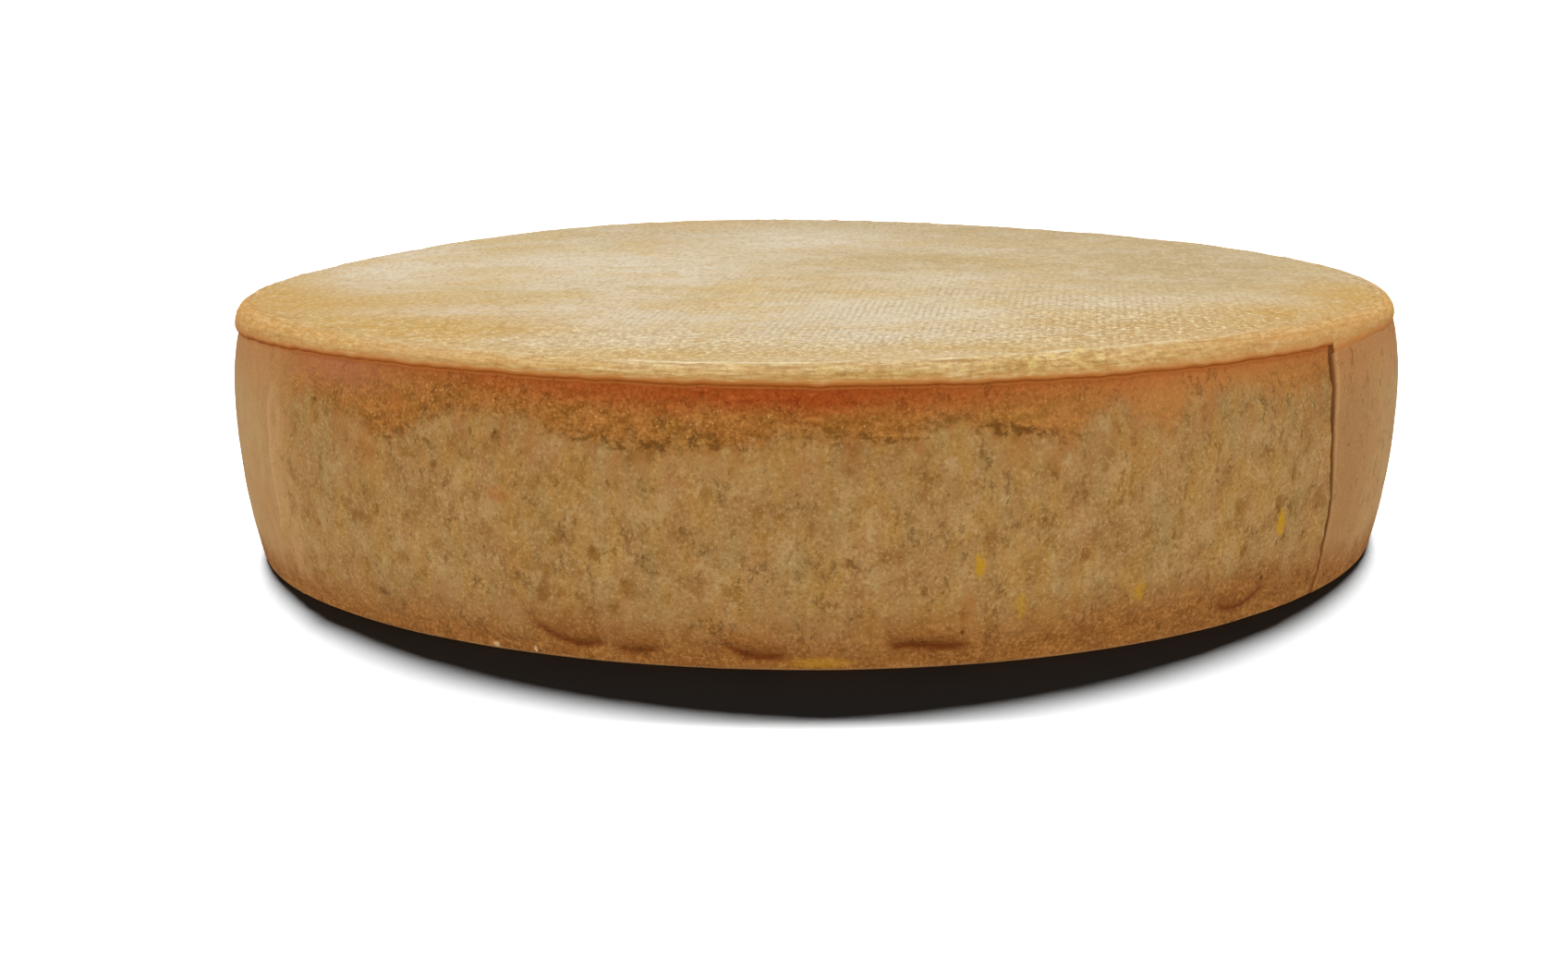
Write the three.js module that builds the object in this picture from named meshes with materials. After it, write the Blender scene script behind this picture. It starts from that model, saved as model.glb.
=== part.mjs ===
// A whole wheel of semi-hard mountain cheese, lying flat on its base.
//
// It is one solid, lofted ring by ring about the upright axis. A wheel that has been pressed,
// turned and rubbed for months is never quite round or quite level, so every ring is a circle
// bent by a few slow waves. The same rings carry the relief: the rounded rim with its small
// overhanging lip, the sunken band under the lip, the thicker rind below it, the upright seam
// where the ends of the press hoop met, and the short creases just above the base.
//
// Millimetres, +Z up, origin at the centre of the base. Azimuth is in degrees about +Z from
// +X, counter-clockwise, so the front of the wheel is at -90.

import * as THREE from 'three';

// ---- Driving sizes ----------------------------------------------------------------------

const LIP_RADIUS = 155;        // the widest ring of the rim
const HEIGHT = 69;             // at the centre of the top face
const DOME = 1.4;              // how far the top face falls from its centre to its edge
const RIM_WIDTH = 4.6;         // from the edge of the top face out to the lip
const RIM_DROP = 6.7;          // from the edge of the top face down to the crease under the lip
const LIP_HEIGHT = 1.2;        // from that crease up to the widest ring
const LIP_OVERHANG = 1;        // how far the lip stands out over the crease

const BELLY_RADIUS = 156.1;    // the fullest ring of the side
const BELLY_AT = 0.3;          // where it is, as a share of the way from crease to base
const BASE_LEAN = 5.6;         // how far the side draws in from the belly to the base
const BASE_EDGE = 1.2;         // rounding where the side meets the base

const RIND_RISE = 0.6;         // the thick rind stands this far above the sunken band
const RIND_TOP = 53;           // mean height of its uneven upper border
const RIND_TOP_SWING = 1.5;    // how far that border wanders up and down
const RIND_FOOT = 4.5;         // mean height of its lower border, above a smooth band
const RIND_FOOT_SWING = 1.2;
const RIND_BORDER_SLOPE = 2;   // each border rises over about twice this height

const RELIEF_STARTS = 0.06;    // the relief is full this share of the way down from the crease
const RELIEF_ENDS = 0.97;      // and dies out from here on to the base
const RELIEF_AT_BASE = 0.3;    // share of it that is left there

const SEAM_AZIMUTH = -37.3;
const SEAM_DEPTH = 1.1;
const SEAM_WIDTH = 1.0;        // width of the groove
const SEAM_WOBBLE = -1.0;      // degrees that the groove strays half way up
const SEAM_WOBBLE_AT = 42;     // height where it strays most
const SEAM_WOBBLE_REACH = 14;  // half the height over which it strays
const SEAM_WOBBLE_WITHIN = 10; // degrees to each side that stray with it
const SEAM_STEP = 0.9;         // the hoop's overlap left the side this much thicker beyond it
const SEAM_STEP_FADE = 60;     // degrees over which the extra thickness dies away
const SEAM_STEP_AT_BASE = 0;   // share of the extra thickness that is left at the base
const SEAM_TUCK = 1.6;         // the lip hangs this much lower just beyond the seam
const SEAM_TUCK_FADE = 3;      // degrees

const RIDGE_AZIMUTH = -148;    // faint upright ridge left by the other edge of the overlap
const RIDGE_HEIGHT = 0.5;
const RIDGE_WIDTH = 2.2;

// Beside the overlap the side never grew the thick rind: one smooth stretch beyond the seam and
// one before the ridge. Each fades from smooth to grainy over a range of degrees.
const BEYOND_SEAM = { middle: SEAM_AZIMUTH + 24, smoothWithin: 18, grainyFrom: 46 };
const BEFORE_RIDGE = { middle: RIDGE_AZIMUTH - 16, smoothWithin: 10, grainyFrom: 16 };
const GRAINY_BEFORE_SEAM = -90;   // as many degrees before the seam the rind is grainy throughout

const LUMP_SIZE = 0.06;        // low lumps where the side is smooth
const LUMP_SIZE_IN_RIND = 0.2; // added where the rind is thick

// Slow waves about the axis: { order, size, peak } adds size * cos(order * (azimuth - peak)).
const RIM_WAVES = [
  { order: 1, size: 1.2, peak: -159 },
  { order: 2, size: 1.3, peak: -81 },
  { order: 3, size: 0.5, peak: -29 },
  { order: 4, size: 0.5, peak: 30 },
];
const RIM_DROP_WAVES = [
  { order: 1, size: 1.9, peak: 94 },
  { order: 2, size: 0.3, peak: 11 },
  { order: 3, size: 1.1, peak: 58 },
];
const OUTLINE_WAVES = [{ order: 4, size: 0.9, peak: 13 }];
const RIND_TOP_WAVES = [
  { order: 11, size: 0.45, peak: 4 },
  { order: 17, size: 0.55, peak: 9 },
  { order: 28, size: 0.4, peak: 2 },
];
const RIND_FOOT_WAVES = [
  { order: 13, size: 0.6, peak: -97 },
  { order: 23, size: 0.4, peak: -82 },
];

// Short creases pressed in just above the base, seen from the front, left to right. From its
// middle to its ends a crease rises by its bend, less its tilt to the left and plus its tilt
// to the right.
const FRONT_CREASES = [
  { azimuth: -111.5, halfLength: 3.8, height: 4.3, depth: 0.9, bend: 3.4, tilt: -2 },
  { azimuth: -105.4, halfLength: 2.3, height: 3.4, depth: 0.7, bend: 1.6, tilt: 0 },
  { azimuth: -95.3, halfLength: 2.8, height: 3.2, depth: 0.9, bend: 2.4, tilt: -1.4 },
  { azimuth: -81, halfLength: 3.6, height: 5.2, depth: 1.1, bend: 0.4, tilt: -0.5 },
  { azimuth: -49.8, halfLength: 3.8, height: 4.4, depth: 0.8, bend: 3.9, tilt: 1.4 },
];
const BACK_CREASE_COUNT = 6;
const BACK_CREASE_START = 14;  // azimuth of the first one on the far side
const BACK_CREASE_PITCH = 29;
const CREASE_HEIGHT = 1.1;     // half the height of a crease's groove
const BULGE_SHARE = 0.5;       // the rind bulges over a crease by this share of its depth
const BULGE_ABOVE = 3.2;       // millimetres from the crease up to its bulge
const BULGE_HEIGHT = 2.2;      // half the height of the bulge

// ---- Grid -------------------------------------------------------------------------------

const COLUMNS = 124;
const SEAM_COLUMNS = [-2.2, -0.8, 0, 0.8, 2.2];   // millimetres from the seam, along the side
const RIDGE_COLUMNS = [-2.4, 0, 2.4];
const COLUMN_CLEARANCE = 1.1;  // degrees that even columns keep from those at seam and ridge
const TOP_ROWS = [0.28, 0.52, 0.74, 0.9, 0.97, 1];   // share of the way from centre to edge
const RIM_ROWS = 6;
const SIDE_ROWS = [
  0.02, 0.05, 0.08, 0.11, 0.14, 0.17, 0.2, 0.26, 0.35, 0.45, 0.55, 0.65, 0.75, 0.83,
  0.87, 0.895, 0.92, 0.945, 0.97, 0.988, 1,
];                             // share of the way from crease to base

// ---- Small helpers ----------------------------------------------------------------------

const radians = THREE.MathUtils.degToRad;
const MILLIMETRES_PER_DEGREE = radians(LIP_RADIUS);

const sumWaves = (waves, azimuth) => waves.reduce(
  (total, { order, size, peak }) => total + size * Math.cos(order * radians(azimuth - peak)), 0);

// Bell-shaped bump, 1 at the middle and nearly 0 beyond twice the half width.
const bump = (distance, halfWidth) => Math.exp(-((distance / halfWidth) ** 2));

// Angle from one azimuth round to another, between -180 and 180.
const turn = (from, to) => THREE.MathUtils.euclideanModulo(to - from + 180, 360) - 180;

const smooth = (low, high, value) => THREE.MathUtils.smoothstep(value, low, high);

// ---- Form of the wheel ------------------------------------------------------------------

const FLAT_RADIUS = LIP_RADIUS - RIM_WIDTH;
const CREASE_RADIUS = LIP_RADIUS - LIP_OVERHANG;
const outlineWave = (azimuth) => sumWaves(OUTLINE_WAVES, azimuth);

// Long shallow swells in the top face, where the cheese settled unevenly under the press.
function topSwell(x, y) {
  const across = Math.sin(x / 31 + 0.6) * Math.cos(y / 37 - 0.4);
  const along = Math.sin((x + 1.7 * y) / 44 + 2.1);
  return 0.35 * across + 0.3 * along;
}

function topPoint(share, azimuth) {
  const radius = share * (FLAT_RADIUS + outlineWave(azimuth));
  const x = radius * Math.cos(radians(azimuth));
  const y = radius * Math.sin(radians(azimuth));
  const swell = (1 - share ** 6) * topSwell(x, y);
  const height = HEIGHT + share ** 2 * (sumWaves(RIM_WAVES, azimuth) - DOME) + swell;
  return { radius, height };
}

// The lip hangs lower on the far side of the seam, and recovers within a few degrees.
function seamTuck(azimuth) {
  const beyond = turn(SEAM_AZIMUTH, azimuth);
  return beyond > 0 ? SEAM_TUCK * Math.exp(-beyond / SEAM_TUCK_FADE) : 0;
}

// The overlap of the hoop left the side thicker beyond the seam, flush with the lip.
function seamStep(azimuth) {
  const beyond = turn(SEAM_AZIMUTH, azimuth);
  return beyond > 0 ? SEAM_STEP * Math.exp(-beyond / SEAM_STEP_FADE) : 0;
}

function creasePoint(azimuth) {
  const drop = RIM_DROP + sumWaves(RIM_DROP_WAVES, azimuth) + seamTuck(azimuth);
  return {
    radius: CREASE_RADIUS + outlineWave(azimuth) + seamStep(azimuth),
    height: topPoint(1, azimuth).height - drop,
  };
}

// Quarter of an ellipse, from the edge of the top face (0) to the widest ring (1).
function rimPoint(share, azimuth) {
  const edge = topPoint(1, azimuth);
  const drop = edge.height - creasePoint(azimuth).height - LIP_HEIGHT;
  const angle = (share * Math.PI) / 2;
  return {
    radius: edge.radius + RIM_WIDTH * Math.sin(angle),
    height: edge.height - drop * (1 - Math.cos(angle)),
  };
}

// Radius of the plain side: tucked in under the lip, fullest at the belly, leaning in below.
function barrelRadius(share) {
  if (share < BELLY_AT) {
    return BELLY_RADIUS - (BELLY_RADIUS - CREASE_RADIUS) * (1 - share / BELLY_AT) ** 2.3;
  }
  return BELLY_RADIUS - BASE_LEAN * ((share - BELLY_AT) / (1 - BELLY_AT)) ** 2;
}

const edgeRounding = (height) => (height < BASE_EDGE
  ? BASE_EDGE - Math.sqrt(BASE_EDGE ** 2 - (BASE_EDGE - height) ** 2) : 0);

// ---- Relief of the side -----------------------------------------------------------------

function grainyOutside({ middle, smoothWithin, grainyFrom }, azimuth) {
  return smooth(smoothWithin, grainyFrom, Math.abs(turn(middle, azimuth)));
}

// Share of the thick, grainy rind: 1 on most of the side, 0 on the two smooth stretches.
function rindCover(azimuth) {
  const fromSeam = turn(SEAM_AZIMUTH, azimuth);
  const pastSeam = fromSeam < 0 && fromSeam > GRAINY_BEFORE_SEAM
    ? 1 : grainyOutside(BEYOND_SEAM, azimuth);
  return pastSeam * grainyOutside(BEFORE_RIDGE, azimuth);
}

function rindRise(azimuth, height) {
  const border = RIND_TOP + RIND_TOP_SWING * sumWaves(RIND_TOP_WAVES, azimuth);
  const foot = RIND_FOOT + RIND_FOOT_SWING * sumWaves(RIND_FOOT_WAVES, azimuth);
  const aboveFoot = smooth(foot - RIND_BORDER_SLOPE, foot + RIND_BORDER_SLOPE, height);
  const belowBorder = 1 - smooth(border - RIND_BORDER_SLOPE, border + 0.75 * RIND_BORDER_SLOPE, height);
  return RIND_RISE * rindCover(azimuth) * aboveFoot * belowBorder;
}

// Low lumps a finger wide, strongest in the thick rind.
function lumps(azimuth, height) {
  const along = azimuth * MILLIMETRES_PER_DEGREE;
  const first = Math.sin(along / 6.1 + height / 9.7) * Math.cos(height / 5.3 - along / 23);
  const second = Math.sin(along / 3.7 - height / 6.4 + 1.3) * Math.sin(height / 4.1 + along / 31);
  return (LUMP_SIZE + LUMP_SIZE_IN_RIND * rindCover(azimuth)) * (first + 0.7 * second);
}

function seamRelief(share, azimuth) {
  const away = turn(SEAM_AZIMUTH, azimuth) * MILLIMETRES_PER_DEGREE;
  const groove = SEAM_DEPTH * bump(away, SEAM_WIDTH / 2);
  return seamStep(azimuth) * THREE.MathUtils.lerp(1, SEAM_STEP_AT_BASE, share) - groove;
}

function backCrease(index) {
  return {
    azimuth: BACK_CREASE_START + BACK_CREASE_PITCH * index + 6 * Math.sin(2.3 * index),
    halfLength: 3.6 + 0.9 * Math.sin(1.7 * index + 1),
    height: 5 + 0.7 * Math.cos(2.9 * index),
    depth: 0.85 + 0.2 * Math.sin(3.1 * index),
    bend: 2 + Math.cos(1.9 * index),
    tilt: 1.2 * Math.sin(2.1 * index + 0.5),
  };
}

const CREASES = [
  ...FRONT_CREASES,
  ...Array.from({ length: BACK_CREASE_COUNT }, (_, index) => backCrease(index)),
];

// Each crease is deepest in its middle. The rind sags over it in a low bulge.
function creaseRelief(azimuth, height) {
  let relief = 0;
  for (const crease of CREASES) {
    const share = turn(crease.azimuth, azimuth) / crease.halfLength;
    if (Math.abs(share) < 1) {
      const line = crease.height + crease.bend * share ** 2 + crease.tilt * share;
      const above = height - line;
      const bulge = BULGE_SHARE * bump(above - BULGE_ABOVE, BULGE_HEIGHT);
      relief += crease.depth * (1 - share ** 4) * (bulge - bump(above, CREASE_HEIGHT));
    }
  }
  return relief;
}

function sidePoint(share, azimuth) {
  const crease = creasePoint(azimuth);
  const height = crease.height * (1 - share);
  const ridge = RIDGE_HEIGHT
    * bump(turn(RIDGE_AZIMUTH, azimuth) * MILLIMETRES_PER_DEGREE, RIDGE_WIDTH / 2);
  // The relief dies out at the two borders, so that crease and base edge stay clean lines.
  const fade = smooth(0, RELIEF_STARTS, share)
    * THREE.MathUtils.lerp(1, RELIEF_AT_BASE, smooth(RELIEF_ENDS, 1, share));
  const relief = rindRise(azimuth, height) + lumps(azimuth, height) + ridge
    + creaseRelief(azimuth, height);
  const radius = barrelRadius(share) + outlineWave(azimuth) + seamRelief(share, azimuth)
    + fade * relief - edgeRounding(height);
  return { radius, height };
}

// ---- Mesh -------------------------------------------------------------------------------

// Even columns, with closer ones at the seam and the ridge in place of those they crowd.
function columnAzimuths() {
  const closeSets = [[SEAM_AZIMUTH, SEAM_COLUMNS], [RIDGE_AZIMUTH, RIDGE_COLUMNS]];
  const close = closeSets.flatMap(([middle, offsets]) => offsets.map(
    (offset) => middle + offset / MILLIMETRES_PER_DEGREE));
  const even = Array.from({ length: COLUMNS }, (_, index) => -180 + (360 * index) / COLUMNS);
  const clear = even.filter((azimuth) => close.every(
    (other) => Math.abs(azimuth - other) > COLUMN_CLEARANCE));
  return [...clear, ...close].sort((a, b) => a - b);
}

// The columns near the seam bend with it, so the groove stays on one column of the grid.
function bentAzimuth(azimuth, height) {
  const away = Math.min(Math.abs(turn(SEAM_AZIMUTH, azimuth)) / SEAM_WOBBLE_WITHIN, 1);
  const near = Math.cos((away * Math.PI) / 2) ** 2;
  return azimuth + SEAM_WOBBLE * bump(height - SEAM_WOBBLE_AT, SEAM_WOBBLE_REACH) * near;
}

function ring(azimuths, pointAt, bends) {
  return azimuths.map((azimuth) => {
    const { radius, height } = pointAt(azimuth);
    const angle = radians(bends ? bentAzimuth(azimuth, height) : azimuth);
    return new THREE.Vector3(radius * Math.cos(angle), radius * Math.sin(angle), height);
  });
}

function wheelRings(azimuths) {
  const rings = TOP_ROWS.map((share) => ring(azimuths, (a) => topPoint(share, a)));
  for (let row = 1; row <= RIM_ROWS; row += 1) {
    rings.push(ring(azimuths, (a) => rimPoint(row / RIM_ROWS, a)));
  }
  rings.push(ring(azimuths, creasePoint));
  for (const share of SIDE_ROWS) {
    rings.push(ring(azimuths, (a) => sidePoint(share, a), true));
  }
  return rings;
}

// Closes a stack of rings, highest first, with a fan at the top and a fan at the bottom.
function loft(rings, top, bottom) {
  const columns = rings[0].length;
  const points = [...rings.flat(), top, bottom];
  const topIndex = points.length - 2;
  const bottomIndex = points.length - 1;
  const lastRing = (rings.length - 1) * columns;
  const faces = [];
  for (let column = 0; column < columns; column += 1) {
    const next = (column + 1) % columns;
    faces.push(topIndex, column, next);
    faces.push(bottomIndex, lastRing + next, lastRing + column);
    for (let upper = 0; upper < lastRing; upper += columns) {
      const lower = upper + columns;
      faces.push(upper + column, lower + column, lower + next);
      faces.push(upper + column, lower + next, upper + next);
    }
  }
  const geometry = new THREE.BufferGeometry().setFromPoints(points);
  geometry.setIndex(faces);
  geometry.computeVertexNormals();
  return geometry;
}

function cheeseWheel() {
  const top = new THREE.Vector3(0, 0, topPoint(0, 0).height);
  const base = new THREE.Vector3(0, 0, 0);
  const geometry = loft(wheelRings(columnAzimuths()), top, base);
  const rind = new THREE.MeshStandardMaterial({ color: '#b98a52', roughness: 0.62, metalness: 0 });
  const wheel = new THREE.Mesh(geometry, rind);
  wheel.name = 'cheese_wheel';
  return wheel;
}

const group = new THREE.Group();
group.add(cheeseWheel());

export default group;
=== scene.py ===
# %% [markdown]
# # A whole wheel of mountain cheese
#
# This lesson dresses one solid, a cheese wheel about 31 cm across and 7 cm high, for a close
# look. The solid already has the right size and the large forms. What is missing is what the
# eye goes to on a real wheel: the cloth marks on its face, the crinkled golden rim, the rust
# red band under the lip, the grainy rind with its pits, and the seam that the press left.
#
# Blender counts in metres, but cheese makers think in millimetres. So the sizes here are in
# millimetres, and MM turns them into metres where a Blender call needs it.

# %% Load the frame
import math
import random

import bpy
import numpy as np
from mathutils import Matrix, Vector, noise


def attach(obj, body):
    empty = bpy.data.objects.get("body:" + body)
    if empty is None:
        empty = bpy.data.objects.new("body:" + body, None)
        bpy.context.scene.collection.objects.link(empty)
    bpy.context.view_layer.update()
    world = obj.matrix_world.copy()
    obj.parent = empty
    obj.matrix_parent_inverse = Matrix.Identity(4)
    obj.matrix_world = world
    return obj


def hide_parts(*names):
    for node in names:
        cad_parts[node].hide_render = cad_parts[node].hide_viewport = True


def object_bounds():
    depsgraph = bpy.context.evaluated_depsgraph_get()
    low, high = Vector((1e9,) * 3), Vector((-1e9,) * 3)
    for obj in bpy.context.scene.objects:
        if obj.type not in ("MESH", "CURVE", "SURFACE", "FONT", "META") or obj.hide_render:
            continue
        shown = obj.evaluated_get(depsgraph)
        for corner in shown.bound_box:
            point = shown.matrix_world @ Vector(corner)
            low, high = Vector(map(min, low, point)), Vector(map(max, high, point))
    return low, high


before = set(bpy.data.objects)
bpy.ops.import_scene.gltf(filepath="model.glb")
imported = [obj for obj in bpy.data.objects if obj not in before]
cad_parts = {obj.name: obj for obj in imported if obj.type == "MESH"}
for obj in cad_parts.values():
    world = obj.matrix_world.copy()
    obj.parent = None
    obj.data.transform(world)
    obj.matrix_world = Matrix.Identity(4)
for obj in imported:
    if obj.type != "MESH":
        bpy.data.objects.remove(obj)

CAD_LOW, CAD_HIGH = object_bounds()
MM = 0.001

bpy.ops.object.select_all(action="DESELECT")
print("nodes in the frame:", sorted(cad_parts))
print("their box in mm:", [round(side / MM, 1) for side in CAD_HIGH - CAD_LOW])

# %% [markdown]
# ## Driving sizes
#
# The wheel could be copied from the solid and subdivided, but its flat facets would still
# show as soft corners. So the fine wheel is made afresh from the same few sizes. They are the
# sizes of the solid, so the new skin lies on it, and a later cell measures that it does.

# %% Sizes of the wheel, in millimetres
LIP_RADIUS = 155.0
HEIGHT = 69.0
DOME = 1.4
RIM_WIDTH = 4.6
RIM_DROP = 6.7
LIP_HEIGHT = 1.2
LIP_OVERHANG = 1.0

BELLY_RADIUS = 156.1
BELLY_AT = 0.3
BASE_LEAN = 5.6
BASE_EDGE = 1.2

FLAT_RADIUS = LIP_RADIUS - RIM_WIDTH
CREASE_RADIUS = LIP_RADIUS - LIP_OVERHANG
BASE_RADIUS = BELLY_RADIUS - BASE_LEAN - BASE_EDGE
MM_PER_DEGREE = math.radians(LIP_RADIUS)
print("one degree along the side is", round(MM_PER_DEGREE, 2), "mm")

# %% [markdown]
# ## Never quite round, never quite level
#
# A wheel is pressed, turned and rubbed by hand for months. Its rim ends up a little higher on
# one side and its outline a little square. A few slow waves about the axis say that better
# than any random noise: each has an order (how many swells there are in one turn), a size in
# millimetres and the azimuth of its peak. The front of the wheel is at azimuth -90. The quick
# waves of the lip are its ragged edge, a few tenths of a millimetre up and down.

# %% Waves about the axis
RIM_WAVES = [(1, 1.2, -159), (2, 1.3, -81), (3, 0.5, -29), (4, 0.5, 30)]
RIM_DROP_WAVES = [(1, 1.9, 94), (2, 0.3, 11), (3, 1.1, 58)]
OUTLINE_WAVES = [(4, 0.9, 13)]
RIND_TOP_WAVES = [(11, 0.45, 4), (17, 0.55, 9), (28, 0.4, 2)]
RIND_FOOT_WAVES = [(13, 0.6, -97), (23, 0.4, -82)]
LIP_RAGGED_WAVES = [(31, 0.08, 3), (59, 0.07, 20), (97, 0.06, 7), (139, 0.05, 50), (171, 0.04, 5)]


def waves(parts, azimuth):
    """Sum of size * cos(order * (azimuth - peak)), for azimuths in degrees."""
    return sum(size * np.cos(order * np.radians(azimuth - peak)) for order, size, peak in parts)


def bump(distance, half_width):
    """1 in the middle, nearly 0 beyond twice the half width."""
    return np.exp(-((distance / half_width) ** 2))


def smooth(low, high, value):
    """Eases from 0 at low to 1 at high."""
    share = np.clip((value - low) / (high - low), 0, 1)
    return share * share * (3 - 2 * share)


def turn(start, azimuth):
    """Degrees from start round to azimuth, between -180 and 180."""
    return (azimuth - start + 180) % 360 - 180


print("rim height swings by", round(float(np.ptp(waves(RIM_WAVES, np.arange(360)))), 1), "mm")

# %% [markdown]
# ## The turned blank
#
# A cheese wheel is a turned shape, like a bowl on a lathe: half its outline, spun about the
# upright axis. A cylinder with a bevelled edge would do for a distant view, but its rows
# would be in the wrong places. With a drawn outline each row goes where a detail needs it:
# many on the rim and the side, few in the middle of the face.
#
# Every row has a kind (top, rim, lip, side or base) and a share, from 0 where that kind
# starts to 1 where it ends.

# %% Rows of the outline
ROW_COUNTS = {"top": 19, "rim": 12, "lip": 3, "side": 58, "base": 5}
COLUMNS = 900
SLICES = 30
RIM_CROWDING = 1.7
SIDE_CROWDING = 0.4


def crowd_to_rim(step):
    """Rows of the top and base: wide apart at the centre, close together at the rim."""
    return 1 - (1 - step) ** RIM_CROWDING


def crowd_to_ends(step):
    """Rows of the side: closer together under the lip and above the base."""
    crowded = (1 - math.cos(math.pi * step)) / 2
    return (1 - SIDE_CROWDING) * step + SIDE_CROWDING * crowded


SPACING = {
    "top": crowd_to_rim,
    "rim": lambda step: step,
    "lip": lambda step: step,
    "side": crowd_to_ends,
    "base": lambda step: 1 - crowd_to_rim(1 - step),
}
ROWS = [("top", 0.0)]
for kind, count in ROW_COUNTS.items():
    ROWS += [(kind, SPACING[kind](row / count)) for row in range(1, count + 1)]
print(len(ROWS), "rows,", 2 * COLUMNS * (len(ROWS) - 1), "triangles or fewer")

# %% [markdown]
# The outline is drawn from the centre of the face, over the rim, under the lip, down the side
# and back to the centre of the base. These functions say where a row is, for any azimuth. On
# the blank they are used once, for a mean wheel; later they bend the blank to its true form.

# %% Where a row of the face, rim or lip is
SEAM_AZIMUTH = -37.3
SEAM_TUCK = 1.6
SEAM_TUCK_FADE = 3.0
SEAM_STEP = 0.9
SEAM_STEP_FADE = 60.0


def top_swell(x, y):
    """Long shallow swells of the face, where the cheese settled unevenly under the press."""
    across = np.sin(x / 31 + 0.6) * np.cos(y / 37 - 0.4)
    along = np.sin((x + 1.7 * y) / 44 + 2.1)
    return 0.35 * across + 0.3 * along


def top_row(share, azimuth):
    radius = share * (FLAT_RADIUS + waves(OUTLINE_WAVES, azimuth))
    x, y = radius * np.cos(np.radians(azimuth)), radius * np.sin(np.radians(azimuth))
    swell = (1 - share**6) * top_swell(x, y)
    return radius, HEIGHT + share**2 * (waves(RIM_WAVES, azimuth) - DOME) + swell


def past_the_seam(size, fade, azimuth):
    """A size that starts at the seam and dies away beyond it."""
    beyond = turn(SEAM_AZIMUTH, azimuth)
    return np.where(beyond > 0, size * np.exp(-np.abs(beyond) / fade), 0)


def crease_height(azimuth):
    drop = RIM_DROP + waves(RIM_DROP_WAVES, azimuth) + waves(LIP_RAGGED_WAVES, azimuth)
    drop = drop + past_the_seam(SEAM_TUCK, SEAM_TUCK_FADE, azimuth)
    return top_row(1, azimuth)[1] - drop


def rim_row(share, azimuth):
    """A quarter of an ellipse, from the edge of the face out to the widest ring."""
    radius, height = top_row(1, azimuth)
    drop = height - crease_height(azimuth) - LIP_HEIGHT
    angle = share * math.pi / 2
    return radius + RIM_WIDTH * math.sin(angle), height - drop * (1 - math.cos(angle))


def lip_row(share, azimuth):
    """Under the lip the surface turns back in, to the crease."""
    radius, height = rim_row(1, azimuth)
    overhang = LIP_OVERHANG - past_the_seam(SEAM_STEP, SEAM_STEP_FADE, azimuth)
    angle = share * math.pi / 2
    return radius - overhang * (1 - math.cos(angle)), height - LIP_HEIGHT * math.sin(angle)


print("the crease is", round(float(np.mean(crease_height(np.arange(360)))), 1), "mm up on average")

# %% Where a row of the side or base is, and the mean outline
TUCK_CURVE = 2.3   # the side draws in ever faster from the belly up to the crease


def side_row(share, azimuth):
    height = crease_height(azimuth) * (1 - share)
    if share < BELLY_AT:
        tuck = (BELLY_RADIUS - CREASE_RADIUS) * (1 - share / BELLY_AT) ** TUCK_CURVE
        barrel = BELLY_RADIUS - tuck
    else:
        barrel = BELLY_RADIUS - BASE_LEAN * ((share - BELLY_AT) / (1 - BELLY_AT)) ** 2
    low = np.clip(BASE_EDGE - height, 0, BASE_EDGE)
    rounding = BASE_EDGE - np.sqrt(BASE_EDGE**2 - low**2)
    return barrel + waves(OUTLINE_WAVES, azimuth) - rounding, height


def base_row(share, azimuth):
    radius = (1 - share) * (BASE_RADIUS + waves(OUTLINE_WAVES, azimuth))
    return radius, np.zeros_like(radius)


ROW_SHAPES = {"top": top_row, "rim": rim_row, "lip": lip_row, "side": side_row, "base": base_row}
MEAN_AZIMUTH = np.linspace(-180, 180, 360, endpoint=False)
OUTLINE = []
for kind, share in ROWS:
    radius, height = ROW_SHAPES[kind](share, MEAN_AZIMUTH)
    OUTLINE.append(Vector((float(np.mean(radius)), 0, float(np.mean(height)))))
outline_length = np.cumsum([0] + [(b - a).length for a, b in zip(OUTLINE, OUTLINE[1:])])
print("half the outline is", round(float(outline_length[-1])), "mm")

# %% [markdown]
# By hand, an outline starts as one vertex: a plane merged to its centre. Extruding that
# vertex again and again draws the line, and Spin turns it about the axis. One slice is spun
# first, and then Spin copies the slice round, which is far quicker than one long spin. The
# slices leave double rows where they meet and a knot at each pole, so the doubles are merged
# and the normals are made to agree afterwards.

# %% Draw the outline and spin it
DOUBLES_WITHIN = 0.002 * MM
bpy.ops.mesh.primitive_plane_add(size=1 * MM, location=OUTLINE[0] * MM)
wheel = bpy.context.object
wheel.name = "cheese_wheel_rind"
bpy.ops.object.transform_apply(location=True, rotation=True, scale=True)
bpy.ops.object.mode_set(mode="EDIT")
bpy.ops.mesh.select_all(action="SELECT")
bpy.ops.mesh.merge(type="CENTER")
for start, end in zip(OUTLINE, OUTLINE[1:]):
    bpy.ops.mesh.extrude_region_move(TRANSFORM_OT_translate={"value": (end - start) * MM})
bpy.ops.mesh.select_all(action="SELECT")
slice_angle = math.tau / SLICES
bpy.ops.mesh.spin(steps=COLUMNS // SLICES, angle=slice_angle, center=(0, 0, 0), axis=(0, 0, 1))
bpy.ops.mesh.select_all(action="SELECT")
bpy.ops.mesh.spin(steps=SLICES - 1, dupli=True, angle=math.tau - slice_angle,
                  center=(0, 0, 0), axis=(0, 0, 1))
bpy.ops.mesh.select_all(action="SELECT")
bpy.ops.mesh.remove_doubles(threshold=DOUBLES_WITHIN)
bpy.ops.mesh.normals_make_consistent(inside=False)
bpy.ops.object.mode_set(mode="OBJECT")
bpy.ops.object.shade_smooth()
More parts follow.
